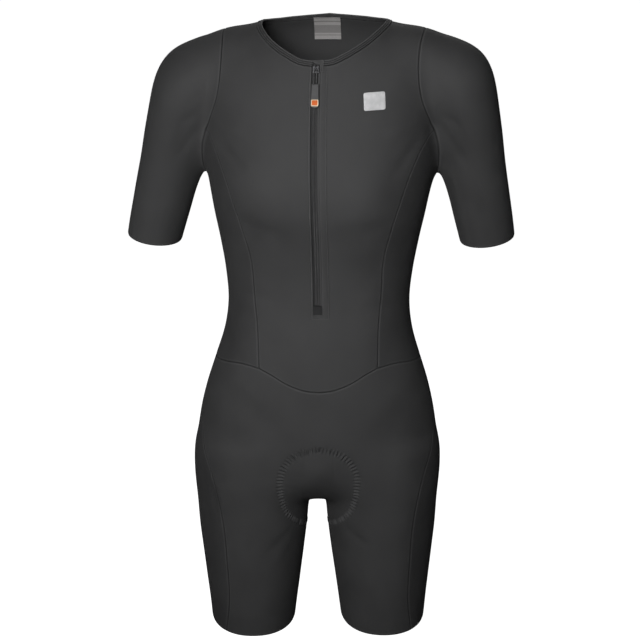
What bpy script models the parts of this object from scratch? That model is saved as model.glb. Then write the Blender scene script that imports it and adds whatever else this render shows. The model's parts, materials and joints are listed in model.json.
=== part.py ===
"""Short-sleeved triathlon suit for a woman, zipped at the front and filled out as if worn.

Metres, +Z up, the front faces -Y and the wearer's left side is at +X.
The origin is the middle of the neck, at the height of the shoulder seams' neck ends.

The cloth lies on one smooth form. form() gives the distance from it: rounded tubes for the body,
the legs and the arms run into each other. Each seam is a line laid on the form, each panel is a grid
between its seams, and each wall is that grid thickened inwards. All of this is worked out on an
upright, symmetric form, and posed() then gives it the slight turn and lean that it stands in.
"""
from math import cos, radians, sin

import bmesh
import bpy
import numpy as np
from mathutils import Matrix
from mathutils.bvhtree import BVHTree

COLLECTION, CUTTERS = "triathlon_suit", "cutters"

WALL = 0.0015              # thickness of the cloth
SEAM = 0.0003              # gap between neighbouring pieces
STEP = 0.0002              # step for slopes of the form

# Body tube: height, half width, depth to the front, depth to the back
BODY = (
    (-0.700, 0.1500, 0.078, 0.098),
    (-0.643, 0.1585, 0.085, 0.108),
    (-0.600, 0.1610, 0.089, 0.114),
    (-0.560, 0.1605, 0.093, 0.117),
    (-0.520, 0.1555, 0.095, 0.113),
    (-0.485, 0.1475, 0.096, 0.105),
    (-0.450, 0.1365, 0.095, 0.095),
    (-0.410, 0.1245, 0.091, 0.085),
    (-0.371, 0.1200, 0.087, 0.080),
    (-0.330, 0.1235, 0.088, 0.081),
    (-0.290, 0.1305, 0.095, 0.085),
    (-0.250, 0.1390, 0.103, 0.090),
    (-0.200, 0.1470, 0.104, 0.095),
    (-0.150, 0.1500, 0.097, 0.096),
    (-0.100, 0.1480, 0.086, 0.091),
    (-0.050, 0.1440, 0.072, 0.080),
    (0.000, 0.1400, 0.056, 0.066),
    (0.040, 0.1380, 0.048, 0.058),
)
BODY_SQUARENESS = 2.35
CROTCH = -0.637            # height of the crotch
CROTCH_ROUND = 0.080

# Line of the shoulders: side, height
SHOULDERS = (
    (0.000, 0.0150),
    (0.045, 0.0075),
    (0.090, -0.0090),
    (0.135, -0.0215),
    (0.180, -0.0305),
    (0.230, -0.0430),
    (0.280, -0.0600),
)
SHOULDER_DEPTH = 0.010     # how far behind the neck's middle the shoulder line runs
SHOULDER_RADIUS = 0.062    # roundness of the shoulders from front to back
SHOULDER_SLOPE = 0.93
SHOULDER_ROUND = 0.040

# Front darts, as two soft rises: side, height, rise, spread across, spread upwards
DART_SIDE, DART_LEVEL, DART_RISE = 0.064, -0.228, 0.012
DART_ACROSS, DART_TALL = 0.048, 0.055
DART_FADE = 0.050          # depth over which the rise fades towards the side

# Leg tube: height, middle's side, half width, depth to the front, depth to the back
LEG = (
    (-0.900, 0.0880, 0.0530, 0.064, 0.062),
    (-0.830, 0.0878, 0.0545, 0.068, 0.066),
    (-0.790, 0.0872, 0.0585, 0.071, 0.070),
    (-0.750, 0.0868, 0.0635, 0.074, 0.076),
    (-0.710, 0.0864, 0.0685, 0.077, 0.083),
    (-0.670, 0.0862, 0.0730, 0.080, 0.091),
    (-0.630, 0.0862, 0.0750, 0.083, 0.100),
    (-0.580, 0.0850, 0.0740, 0.084, 0.108),
    (-0.530, 0.0820, 0.0680, 0.080, 0.100),
)
LEG_SQUARENESS = 2.15
LEG_TOP, LEG_TOP_ROUND = -0.560, 0.030
LEGS_BLEND = 0.020         # how softly the two legs meet
LEG_BLEND = 0.028          # how softly a leg runs into the body

# Arm tube: height, middle's side, middle's depth, half width, half depth
ARM = (
    (-0.3600, 0.2342, 0.026, 0.0330, 0.0380),
    (-0.3000, 0.2222, 0.022, 0.0365, 0.0410),
    (-0.2650, 0.2147, 0.018, 0.0388, 0.0430),
    (-0.2300, 0.2072, 0.015, 0.0405, 0.0450),
    (-0.1850, 0.1972, 0.012, 0.0428, 0.0480),
    (-0.1500, 0.1892, 0.009, 0.0460, 0.0520),
    (-0.1100, 0.1802, 0.006, 0.0483, 0.0560),
    (-0.0700, 0.1722, 0.004, 0.0505, 0.0590),
    (-0.0200, 0.1622, 0.004, 0.0520, 0.0600),
)
ARM_SQUARENESS = 2.0
ARM_ROUND = 0.075          # roundness of the shoulder's cap
ARM_BLEND = 0.042          # how softly an arm runs into the body

# Stance: height, turn in degrees, lean to the side, tilt of the shoulders
STANCE = (
    (-0.80, 1.0, 0.0000, 0.000),
    (-0.60, 1.0, -0.0010, 0.000),
    (-0.48, 0.5, -0.0003, 0.000),
    (-0.36, -1.5, 0.0015, 0.000),
    (-0.22, -4.0, 0.0035, 0.003),
    (-0.10, -6.5, 0.0060, 0.010),
    (0.02, -8.5, 0.0085, 0.015),
)

# Seams on the right-hand half (+X): side, depth, height. Each line is laid on the form.
SLIT = 0.0050              # half width of the zip's slit
ZIP_FOOT = -0.3645         # height where the zip's teeth end
SLIT_FOOT = -0.3760        # height where the slit ends
NECK_FRONT = (
    (SLIT, -0.0730, -0.0580),
    (0.0210, -0.0710, -0.0560),
    (0.0400, -0.0650, -0.0475),
    (0.0550, -0.0580, -0.0385),
    (0.0680, -0.0480, -0.0290),
    (0.0780, -0.0350, -0.0200),
    (0.0850, -0.0200, -0.0125),
    (0.0885, 0.0040, -0.0060),
)
NECK_BACK = (
    (0.0885, 0.0040, -0.0060),
    (0.0850, 0.0270, -0.0050),
    (0.0700, 0.0440, -0.0060),
    (0.0450, 0.0525, -0.0070),
    (0.0200, 0.0553, -0.0060),
    (0.0000, 0.0556, -0.0055),
)
SHOULDER_SEAM = (
    (0.0885, 0.0040, -0.0060),
    (0.1300, 0.0060, -0.0190),
)
ARMHOLE_FRONT = (
    (0.1300, 0.0060, -0.0190),
    (0.1275, -0.0330, -0.0400),
    (0.1285, -0.0480, -0.0700),
    (0.1340, -0.0490, -0.1050),
    (0.1425, -0.0420, -0.1280),
    (0.1490, -0.0340, -0.1440),
)
ARMHOLE_UNDER_FRONT = (
    (0.1490, -0.0340, -0.1440),
    (0.1545, -0.0200, -0.1720),
    (0.1537, -0.0080, -0.1880),
    (0.1532, 0.0060, -0.1950),
)
ARMHOLE_UNDER_BACK = (
    (0.1532, 0.0060, -0.1950),
    (0.1515, 0.0200, -0.1920),
    (0.1505, 0.0300, -0.1790),
    (0.1475, 0.0400, -0.1540),
)
ARMHOLE_BACK = (
    (0.1475, 0.0400, -0.1540),
    (0.1400, 0.0480, -0.1250),
    (0.1340, 0.0520, -0.1000),
    (0.1305, 0.0510, -0.0700),
    (0.1300, 0.0400, -0.0360),
    (0.1300, 0.0060, -0.0190),
)
PRINCESS_FRONT = (
    (0.1490, -0.0340, -0.1440),
    (0.1400, -0.0500, -0.1570),
    (0.1217, -0.0700, -0.1910),
    (0.1022, -0.0850, -0.2465),
    (0.0880, -0.0780, -0.2930),
    (0.0820, -0.0700, -0.3620),
    (0.0785, -0.0750, -0.3995),
    (0.0770, -0.0835, -0.4485),
)
PRINCESS_BACK = (
    (0.1475, 0.0400, -0.1540),
    (0.1300, 0.0640, -0.2050),
    (0.1170, 0.0680, -0.2650),
    (0.1030, 0.0600, -0.3300),
    (0.0990, 0.0560, -0.3750),
    (0.1160, 0.0520, -0.4500),
)
WAIST_FRONT = (
    (0.0000, -0.0960, -0.4783),
    (0.0194, -0.0955, -0.4758),
    (0.0390, -0.0940, -0.4688),
    (0.0616, -0.0890, -0.4560),
    (0.0770, -0.0835, -0.4485),
)
WAIST_SIDE_FRONT = (
    (0.0770, -0.0835, -0.4485),
    (0.0964, -0.0730, -0.4450),
    (0.1210, -0.0470, -0.4465),
    (0.1365, -0.0080, -0.4485),
)
WAIST_SIDE_BACK = (
    (0.1365, -0.0080, -0.4485),
    (0.1340, 0.0220, -0.4490),
    (0.1160, 0.0520, -0.4500),
)
WAIST_BACK = (
    (0.1160, 0.0520, -0.4500),
    (0.0650, 0.0850, -0.4520),
    (0.0000, 0.0960, -0.4540),
)

# Sleeve: four lines from the armhole down to the cuff, between their ends
OVERARM = (
    (0.1680, 0.0060, -0.0290),
    (0.2080, 0.0060, -0.0530),
    (0.2290, 0.0070, -0.1000),
    (0.2400, 0.0100, -0.1600),
    (0.2500, 0.0150, -0.2250),
)
ARM_FRONT = (
    (0.1600, -0.0540, -0.1200),
    (0.1900, -0.0430, -0.1700),
    (0.2090, -0.0300, -0.2350),
)
UNDERARM = (
    (0.1660, 0.0090, -0.2250),
    (0.1780, 0.0160, -0.2620),
)
ARM_BACK = (
    (0.1620, 0.0640, -0.1250),
    (0.1920, 0.0620, -0.1750),
    (0.2100, 0.0600, -0.2350),
)
CUFF = (0.2207, 0.0220, -0.2925)          # middle of the cuff
CUFF_FACES = (0.15, 0.17, -1.00)          # direction that the cuff's opening faces
HEM = -0.8080                             # height of the leg's hem at the side
HEM_DIP = 0.17                            # the hem drops to the front by this share of the depth

# Shorts: lines between their ends
PAD_RING = (
    (0.0000, -0.0935, -0.5555),
    (0.0300, -0.0930, -0.5640),
    (0.0480, -0.0890, -0.5860),
    (0.0500, -0.0820, -0.6150),
    (0.0430, -0.0680, -0.6520),
    (0.0240, -0.0380, -0.6780),
    (0.0135, 0.0000, -0.6820),
    (0.0240, 0.0400, -0.6760),
    (0.0440, 0.0780, -0.6480),
    (0.0520, 0.1000, -0.6080),
    (0.0320, 0.1150, -0.5720),
    (0.0000, 0.1150, -0.5620),
)
SEAT_FRONT = (
    (0.0000, -0.0900, -0.5900),
    (0.0000, -0.0740, -0.6220),
    (0.0000, -0.0400, -0.6340),
)
SEAT_BACK = (
    (0.0000, 0.1130, -0.5900),
    (0.0000, 0.0980, -0.6180),
    (0.0000, 0.0600, -0.6320),
    (0.0000, 0.0300, -0.6340),
)
THIGH_FRONT = (
    (0.0790, -0.0920, -0.5000),
    (0.0810, -0.0900, -0.5600),
    (0.0820, -0.0850, -0.6300),
    (0.0840, -0.0790, -0.7000),
    (0.0860, -0.0720, -0.7700),
)
THIGH_BACK = (
    (0.0680, 0.1060, -0.5100),
    (0.0800, 0.1100, -0.5700),
    (0.0850, 0.1000, -0.6300),
    (0.0860, 0.0840, -0.7000),
    (0.0870, 0.0720, -0.7700),
)
LEG_PANEL_FRONT = (
    (0.1530, -0.0200, -0.5100),
    (0.1515, -0.0420, -0.5560),
    (0.1410, -0.0620, -0.5920),
    (0.1310, -0.0690, -0.6320),
    (0.1255, -0.0700, -0.6650),
    (0.1215, -0.0670, -0.7150),
    (0.1195, -0.0630, -0.7720),
)
LEG_PANEL_BACK = (
    (0.1340, 0.0600, -0.5100),
    (0.1370, 0.0700, -0.5700),
    (0.1310, 0.0740, -0.6300),
    (0.1260, 0.0680, -0.7000),
    (0.1230, 0.0580, -0.7700),
)
PANEL_ANGLE = 52           # the leg's side panel reaches this far round from the side, at the hem

# Steps along the seams
NECK_FRONT_STEPS, NECK_BACK_STEPS, SHOULDER_STEPS = 7, 8, 2
ARMHOLE_STEPS, UNDERARM_STEPS, PRINCESS_STEPS = 7, 5, 15
ZIP_STEPS, BELOW_ZIP_STEPS = 16, 5
SLEEVE_STEPS = 10
CENTRE_STEPS, RING_STEPS, INSEAM_STEPS = 4, 10, 5
LENS_UPPER_STEPS = 4
LENS_ROUNDS = 60           # times that the points inside the pad's ring are evened out
SIDE_STEPS = 5
THIGH_BACK_STEPS = 6

# Puckers along the stitched ring of the seat pad
PUCKER_SPLITS = 5          # puckered steps in each step of the ring
PUCKER_RISE = 0.0005
RING_HALF, RING_CREST = 0.0045, 0.0020    # half widths of the band and of its crests

# Neck binding: distance from its seam, height over the cloth
BINDING = (
    (0.0002, 0.0002),
    (0.0013, 0.0009),
    (0.0026, 0.0003),
    (0.0038, 0.0009),
    (0.0050, 0.0003),
    (0.0062, 0.0009),
    (0.0074, 0.0003),
)

# Zip: the tape's and teeth's section, as side and height over the cloth
TEETH_HALF = 0.0037
TEETH_RISE = 0.0010
TAPE = (
    (0.00015, -WALL),
    (0.00015, 0.0006),
    (0.00100, TEETH_RISE),
    (0.00280, TEETH_RISE),
    (TEETH_HALF, 0.0002),
    (SLIT - SEAM / 2, 0.0000),
    (SLIT - SEAM / 2, -WALL),
)
ZIP_TOP = -0.0520          # height of the tapes' upper ends
STOP_SIZE = 0.0120         # square patch that closes the foot of the zip
STOP_TOP = -0.3650
STOP_THICK = 0.0011
GUARD = (                  # flap at the top of the zip: side, height of its lower edge
    (-0.0055, -0.0525),
    (-0.0020, -0.0545),
    (0.0020, -0.0560),
    (0.0046, -0.0565),
    (0.0051, -0.0650),
    (0.0100, -0.0660),
)
GUARD_TOP = -0.0512
GUARD_LIFT, GUARD_THICK = 0.0015, 0.0010

SLIDER_LEVEL = -0.0625     # height of the slider's middle
SLIDER_SIZE = (0.0088, 0.0020, 0.0100)
SLIDER_LIFT = 0.0014       # underside of the slider over the cloth
BRIDGE_WIDTH, BRIDGE_DEPTH, BRIDGE_HEIGHT = 0.0012, 0.0040, 0.0064
BRIDGE_BORE = 0.0011       # radius of the hole that the cord goes through
PULL_TILT = 14.5           # the pull hangs this many degrees off the upright, clear of the zip
CORD_RADIUS = 0.00075
CORD_HALF = 0.0017         # half the space between the cord's two strands
CORD_DROP = 0.0190         # from the bridge's hole down to the grip
GRIP_LENGTH, GRIP_TOP_HALF, GRIP_FOOT_HALF = 0.0315, 0.0046, 0.0052
GRIP_THICK, GRIP_CORNER = 0.0032, 0.0010

LABEL_SIDE, LABEL_HALF = -0.0035, 0.0178    # middle and half width of the label in the neck
LABEL_TOP, LABEL_FOOT = -0.0045, -0.0350
LABEL_THICK = 0.0006

# Colours, linear: red, green, blue
CLOTH = (0.040, 0.040, 0.041)
DARK_CLOTH = (0.028, 0.028, 0.029)
TAPE_BLACK = (0.018, 0.018, 0.019)
METAL = (0.50, 0.50, 0.52)
RUBBER = (0.022, 0.022, 0.024)
CORD_BLACK = (0.015, 0.015, 0.016)
LABEL_GREY = (0.52, 0.52, 0.54)


# ---------------------------------------------------------------- form

def columns_at(table, at):
    """Values of a table's other columns where its first column is `at`, as smooth curves."""
    rows = np.asarray(table, float)
    places, values = rows[:, 0], rows[:, 1:]
    slopes = np.gradient(values, places, axis=0)
    low = np.clip(np.searchsorted(places, at) - 1, 0, len(places) - 2)
    gap = places[low + 1] - places[low]
    share = np.clip((at - places[low]) / gap, 0, 1)
    gap, share = gap[..., None], share[..., None]
    return ((2 * share**3 - 3 * share**2 + 1) * values[low]
            + (share**3 - 2 * share**2 + share) * gap * slopes[low]
            + (3 * share**2 - 2 * share**3) * values[low + 1]
            + (share**3 - share**2) * gap * slopes[low + 1])


def smooth_min(a, b, radius):
    """The smaller of two distances, rounded where they cross."""
    near = np.maximum(radius - np.abs(a - b), 0) / radius
    return np.minimum(a, b) - near**3 * radius / 6


def smooth_max(a, b, radius):
    """The larger of two distances, rounded where they cross."""
    return -smooth_min(-a, -b, radius)


def tube(x, y, half_width, front, back, squareness):
    """Distance from an upright tube whose section is a rounded oval, deeper on one side."""
    depth = np.where(y < 0, front, back)
    u = np.maximum(np.abs(x) / half_width, 1e-6)
    v = np.maximum(np.abs(y) / depth, 1e-6)
    size = (u**squareness + v**squareness) ** (1 / squareness)
    slope = size ** (1 - squareness) * np.hypot(u ** (squareness - 1) / half_width,
                                                v ** (squareness - 1) / depth)
    return (size - 1) / slope


def over_shoulders(x, y, z):
    """Distance above the rounded line of the shoulders."""
    height = columns_at(SHOULDERS, np.abs(x))[..., 0]
    return (z - height + (y - SHOULDER_DEPTH)**2 / (2 * SHOULDER_RADIUS)) * SHOULDER_SLOPE


def body_form(x, y, z):
    """Distance from the body: its tube, the rise of the darts, the shoulders and the crotch."""
    row = columns_at(BODY, z)
    distance = tube(x, y, row[..., 0], row[..., 1], row[..., 2], BODY_SQUARENESS)
    sides = (np.exp(-((x - DART_SIDE) / DART_ACROSS)**2)
             + np.exp(-((x + DART_SIDE) / DART_ACROSS)**2))
    fade = np.clip(-y / DART_FADE, 0, 1)
    rise = DART_RISE * sides * np.exp(-((z - DART_LEVEL) / DART_TALL)**2)
    distance = distance - rise * fade**2 * (3 - 2 * fade)
    distance = smooth_max(distance, over_shoulders(x, y, z), SHOULDER_ROUND)
    return smooth_max(distance, CROTCH - z, CROTCH_ROUND)


def leg_form(x, y, z):
    """Distance from the leg on the +X side."""
    row = columns_at(LEG, z)
    distance = tube(x - row[..., 0], y, row[..., 1], row[..., 2], row[..., 3], LEG_SQUARENESS)
    return smooth_max(distance, z - LEG_TOP, LEG_TOP_ROUND)


def arm_form(x, y, z):
    """Distance from the arm on the +X side."""
    row = columns_at(ARM, z)
    distance = tube(x - row[..., 0], y - row[..., 1], row[..., 2], row[..., 3], row[..., 3],
                    ARM_SQUARENESS)
    return smooth_max(distance, over_shoulders(x, y, z), ARM_ROUND)


def form(points):
    """Distance of points from the whole form, negative inside it."""
    x, y, z = points[..., 0], points[..., 1], points[..., 2]
    legs = smooth_min(leg_form(x, y, z), leg_form(-x, y, z), LEGS_BLEND)
    distance = smooth_min(body_form(x, y, z), legs, LEG_BLEND)
    return smooth_min(distance, arm_form(np.abs(x), y, z), ARM_BLEND)


def slope_of(points):
    """Steepest rise of the form's distance at each point."""
    steps = np.eye(3) * STEP
    return np.stack([(form(points + step) - form(points - step)) / (2 * STEP) for step in steps], -1)


def normals_at(points):
    """Directions straight out of the form."""
    slope = slope_of(points)
    return slope / np.linalg.norm(slope, axis=-1, keepdims=True)


def onto_form(points, rounds=8):
    """Points moved along the form's slope until they lie on it."""
    points = np.array(points, float)
    for _ in range(rounds):
        slope = slope_of(points)
        length = np.sum(slope**2, -1, keepdims=True)
        move = form(points)[..., None] * slope / length
        far = np.maximum(np.linalg.norm(move, axis=-1, keepdims=True) / 0.02, 1)
        points -= move / far
    return points


def front_at(x, z, back=False):
    """Points of the form's front, or its back, at a side and a height."""
    x, z = np.broadcast_arrays(np.asarray(x, float), np.asarray(z, float))
    sign = 1.0 if back else -1.0
    inside, outside = np.zeros_like(x), np.full_like(x, 0.25)
    for _ in range(40):
        middle = (inside + outside) / 2
        within = form(np.stack((x, sign * middle, z), -1)) < 0
        inside = np.where(within, middle, inside)
        outside = np.where(within, outside, middle)
    return np.stack((x, sign * inside, z), -1)


def posed(points):
    """Points carried from the upright form into the stance: turned, leaned and tilted by height."""
    x, y, z = points[..., 0], points[..., 1], points[..., 2]
    row = columns_at(STANCE, z)
    turn, lean, tilt = np.radians(row[..., 0]), row[..., 1], row[..., 2]
    return np.stack((x * np.cos(turn) - y * np.sin(turn) + lean,
                     x * np.sin(turn) + y * np.cos(turn),
                     z + tilt * x), -1)


def stance_matrix(z):
    """The stance at one height, for a hard piece that keeps its shape."""
    turn, lean, tilt = columns_at(STANCE, np.array([z]))[0]
    spin = Matrix.Rotation(radians(turn), 4, "Z") @ Matrix.Rotation(-tilt, 4, "Y")
    return Matrix.Translation((lean, 0, z)) @ spin @ Matrix.Translation((0, 0, -z))


# ---------------------------------------------------------------- seams

def walked(points):
    """Distance walked along a line of points, from its start."""
    steps = np.linalg.norm(np.diff(points, axis=0), axis=1)
    return np.concatenate(([0], np.cumsum(steps)))


def seam(guide, steps):
    """A line of even steps on the form, along the smooth curve through the guide's points."""
    guide = np.array(guide, float)
    run = walked(guide)
    fine = onto_form(columns_at(np.column_stack((run, guide)), np.linspace(0, run[-1], 241)))
    way = walked(fine)
    even = np.linspace(0, way[-1], steps + 1)
    line = onto_form(np.column_stack([np.interp(even, way, fine[:, axis]) for axis in range(3)]))
    line[0], line[-1] = fine[0], fine[-1]
    return line


def line_between(start, guide, end, steps):
    """A seam from one known point to another, past the guide's points."""
    return seam(np.vstack((start, guide, end)) if len(guide) else np.vstack((start, end)), steps)


def joined(*lines):
    """One line from several that meet end to end."""
    return np.vstack([lines[0]] + [line[1:] for line in lines[1:]])


def patch(upper, lower, left, right, evened=0):
    """A grid between four lines: the sum of the two ways across, less the corners' own share.
    Where the form bends sharply, its points are then evened out, each to its neighbours' middle."""
    rows, columns = len(left), len(upper)
    v = np.linspace(0, 1, rows)[:, None, None]
    u = np.linspace(0, 1, columns)[None, :, None]
    across = (1 - v) * upper[None] + v * lower[None]
    along = (1 - u) * left[:, None] + u * right[:, None]
    corners = ((1 - u) * (1 - v) * upper[0] + u * (1 - v) * upper[-1]
               + (1 - u) * v * lower[0] + u * v * lower[-1])
    grid = onto_form(across + along - corners)
    grid[0], grid[-1], grid[:, 0], grid[:, -1] = upper, lower, left, right
    for _ in range(evened):
        beside = grid[1:-1, :-2] + grid[1:-1, 2:] + grid[:-2, 1:-1] + grid[2:, 1:-1]
        grid[1:-1, 1:-1] = onto_form(beside / 4, rounds=3)
    if evened:
        grid[1:-1, 1:-1] = onto_form(grid[1:-1, 1:-1])
    return grid


def on_plane(points, middle, faces):
    """Points laid both on the form and on the plane through `middle` that faces `faces`."""
    middle, faces = np.array(middle), np.array(faces) / np.linalg.norm(faces)
    for _ in range(12):
        points = onto_form(points, rounds=3)
        points = points - np.sum((points - middle) * faces, -1, keepdims=True) * faces
    return points


def cuff_line(degrees):
    """Points of the cuff at angles from its outer side towards the front."""
    angle = np.radians(degrees)
    ring = np.column_stack((0.036 * np.cos(angle), -0.042 * np.sin(angle), 0 * angle))
    return on_plane(np.array(CUFF) + ring, CUFF, CUFF_FACES)


def hem_line(degrees):
    """Points of the leg's hem at angles from its outer side towards the front."""
    middle = np.array((columns_at(LEG, np.array([HEM]))[0, 0], 0.0, HEM))
    angle = np.radians(degrees)
    ring = np.column_stack((0.056 * np.cos(angle), -0.068 * np.sin(angle), 0 * angle))
    return on_plane(middle + ring, middle, (0, HEM_DIP, -1))


# ---------------------------------------------------------------- meshes

def grid_faces(grid):
    """Triangles of a grid whose points are numbered row by row. Each square is split along the
    diagonal that lies nearer to the form."""
    rows, columns = grid.shape[:2]
    corner = (np.arange(rows - 1)[:, None] * columns + np.arange(columns - 1)).ravel()
    a, b, c, d = corner, corner + columns, corner + columns + 1, corner + 1
    points = grid.reshape(-1, 3)
    one = np.abs(form((points[a] + points[c]) / 2)) <= np.abs(form((points[b] + points[d]) / 2))
    return np.vstack((np.column_stack((a, b, c))[one], np.column_stack((a, c, d))[one],
                      np.column_stack((a, b, d))[~one], np.column_stack((b, c, d))[~one]))


class Sheet:
    """Points on the form with their rise, and triangles for the outer and the inner side."""

    def __init__(self, points, outer, inner=None, rise=None):
        self.points = np.asarray(points, float).reshape(-1, 3)
        self.outer = facing_out(self.points, outer)
        self.inner = self.outer if inner is None else facing_out(self.points, inner)
        self.rise = np.zeros(len(self.points)) if rise is None else np.asarray(rise, float)


def facing_out(points, faces):
    """Triangles of like winding, all turned over if they face into the form."""
    a, b, c = (points[faces[:, k]] for k in range(3))
    facing = np.sum(np.cross(b - a, c - a) * normals_at((a + b + c) / 3))
    return faces[:, ::-1] if facing < 0 else faces


def grid_sheet(grid, rise=None):
    """A sheet from one grid of points."""
    return Sheet(grid, grid_faces(grid), rise=rise)


def mirrored(sheet):
    """The same sheet on the other side of the suit."""
    other = Sheet.__new__(Sheet)
    other.points = sheet.points * (-1, 1, 1)
    other.outer, other.inner = sheet.outer[:, ::-1], sheet.inner[:, ::-1]
    other.rise = sheet.rise
    return other


def merged(sheets):
    """One sheet from several, with the points that they share made one."""
    starts = np.cumsum([0] + [len(sheet.points) for sheet in sheets])
    points = np.vstack([sheet.points for sheet in sheets])
    _, first, number = np.unique(np.round(points, 6) + 0.0, axis=0, return_index=True,
                                 return_inverse=True)
    number = number.ravel()
    whole = Sheet.__new__(Sheet)
    whole.points = points[first]
    whole.rise = np.concatenate([sheet.rise for sheet in sheets])[first]
    whole.outer = np.vstack([number[sheet.outer + start] for sheet, start in zip(sheets, starts)])
    whole.inner = np.vstack([number[sheet.inner + start] for sheet, start in zip(sheets, starts)])
    return whole


def border_of(faces):
    """Edges that belong to one triangle only, in that triangle's direction."""
    edges = np.vstack((faces[:, [0, 1]], faces[:, [1, 2]], faces[:, [2, 0]]))
    there = {tuple(edge) for edge in edges.tolist()}
    return np.array([edge for edge in edges.tolist() if (edge[1], edge[0]) not in there])


def drawn_in(points, normals, border):
    """Points with those of the border moved half a seam's gap into the piece."""
    along = points[border[:, 1]] - points[border[:, 0]]
    along /= np.linalg.norm(along, axis=1, keepdims=True)
    inward = np.cross((normals[border[:, 0]] + normals[border[:, 1]]) / 2, along)
    inward /= np.linalg.norm(inward, axis=1, keepdims=True)
    total = np.zeros_like(points)
    for end in (0, 1):
        np.add.at(total, border[:, end], inward)
    square = np.maximum(np.sum(total**2, -1, keepdims=True), 0.5)
    return points + total * SEAM / square * (np.sum(total**2, -1, keepdims=True) > 0)


def rim_faces(points, border, count):
    """Triangles that close a wall's edge. Both neighbours of a seam split its quads alike:
    from the outer end of the higher point to the inner end of the lower one."""
    order = points @ (0.1, 0.01, 1.0)
    falls = order[border[:, 0]] > order[border[:, 1]]
    a, b = border[falls, 0], border[falls, 1]
    down = np.vstack((np.column_stack((a, a + count, b + count)), np.column_stack((a, b + count, b))))
    a, b = border[~falls, 0], border[~falls, 1]
    up = np.vstack((np.column_stack((b, a, a + count)), np.column_stack((b, a + count, b + count))))
    return np.vstack((down, up))


def wall_mesh(sheet, top=0.0, thickness=WALL, even=False):
    """Points and triangles of a closed wall that follows a sheet. An even wall's inner side has
    the sheet's rise too."""
    normals = normals_at(sheet.points)
    border = border_of(sheet.inner)
    base = drawn_in(sheet.points, normals, border)
    upper = posed(base + normals * (top + sheet.rise)[:, None])
    lower = posed(base + normals * (top - thickness + sheet.rise * even)[:, None])
    faces = np.vstack((sheet.outer, sheet.inner[:, ::-1] + len(base),
                       rim_faces(sheet.points, border, len(base))))
    points = np.vstack((upper, lower))
    used, renumbered = np.unique(faces, return_inverse=True)
    return points[used], renumbered.reshape(-1, 3)


def swept_mesh(sections):
    """Points and triangles of a closed bar through sections of equal point counts."""
    rings, size = sections.shape[:2]
    near, side = np.meshgrid(np.arange(rings - 1), np.arange(size), indexing="ij")
    next_side = (side + 1) % size
    a, b = near * size + side, near * size + next_side
    c, d = b + size, a + size
    bars = np.stack((a, b, c, a, c, d), -1).reshape(-1, 3)
    fan = np.column_stack((np.zeros(size - 2, int), np.arange(1, size - 1), np.arange(2, size)))
    last = (rings - 1) * size
    return sections.reshape(-1, 3), np.vstack((bars, fan[:, ::-1], fan + last))


# ---------------------------------------------------------------- Blender

def clear_scene():
    """Remove every object and collection that is there already."""
    for item in list(bpy.data.objects):
        bpy.data.objects.remove(item, do_unlink=True)
    for group in list(bpy.data.collections):
        bpy.data.collections.remove(group)


def material(name, colour, roughness, metallic=0.0):
    """A plain Principled material."""
    made = bpy.data.materials.get(name) or bpy.data.materials.new(name)
    made.use_nodes = True
    shader = made.node_tree.nodes["Principled BSDF"]
    shader.inputs["Base Color"].default_value = (*colour, 1.0)
    shader.inputs["Roughness"].default_value = roughness
    shader.inputs["Metallic"].default_value = metallic
    made.diffuse_color = (*colour, 1.0)
    return made


def add_object(name, mesh, surface):
    """An object in the suit's collection."""
    made = bpy.data.objects.new(name, mesh)
    bpy.data.collections[COLLECTION].objects.link(made)
    mesh.materials.clear()
    mesh.materials.append(surface)
    return made


def mesh_object(name, points, faces, surface):
    """An object from points and faces, its normals made consistent and its curves smooth."""
    mesh = bpy.data.meshes.new(name)
    mesh.from_pydata(points.tolist(), [], faces.tolist())
    soft = bmesh.new()
    soft.from_mesh(mesh)
    bmesh.ops.recalc_face_normals(soft, faces=soft.faces)
    soft.to_mesh(mesh)
    soft.free()
    mesh.shade_smooth()
    mesh.set_sharp_from_angle(angle=radians(50))
    return add_object(name, mesh, surface)


def panel(name, sheets, surface, **wall):
    """A cut piece of cloth as a closed wall."""
    return mesh_object(name, *wall_mesh(merged(sheets), **wall), surface)


def both_sides(name, sheets, surface, **wall):
    """A piece for each side of the suit: the wearer's left is at +X."""
    panel(name + "_left", sheets, surface, **wall)
    panel(name + "_right", [mirrored(sheet) for sheet in sheets], surface, **wall)


def whole(sheets):
    """A piece's sheets together with their mirror images."""
    return sheets + [mirrored(sheet) for sheet in sheets]


def as_cutter(item):
    """Put an object with the cutters, out of the suit and of the render."""
    bpy.data.collections[COLLECTION].objects.unlink(item)
    bpy.data.collections[CUTTERS].objects.link(item)
    item.hide_render = True
    item.display_type = "WIRE"


def box_object(name, size, surface, bevel):
    """A box about the origin with rounded edges."""
    mesh = bpy.data.meshes.new(name)
    shape = bmesh.new()
    bmesh.ops.create_cube(shape, size=1.0, matrix=Matrix.Diagonal((*size, 1.0)))
    shape.to_mesh(mesh)
    shape.free()
    made = add_object(name, mesh, surface)
    add_bevel(made, bevel)
    return made


def rod_object(name, radius, length):
    """A plain cylinder about the origin, along Z."""
    mesh = bpy.data.meshes.new(name)
    shape = bmesh.new()
    bmesh.ops.create_cone(shape, cap_ends=True, segments=16, radius1=radius, radius2=radius,
                          depth=length)
    shape.to_mesh(mesh)
    shape.free()
    made = bpy.data.objects.new(name, mesh)
    bpy.data.collections[COLLECTION].objects.link(made)
    return made


def add_bevel(item, width):
    """Rounded edges, in two steps."""
    edges = item.modifiers.new("Bevel", "BEVEL")
    edges.width = width
    edges.segments = 2
    edges.limit_method = "ANGLE"
    edges.angle_limit = radians(40)


# ---------------------------------------------------------------- the suit's lines

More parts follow.
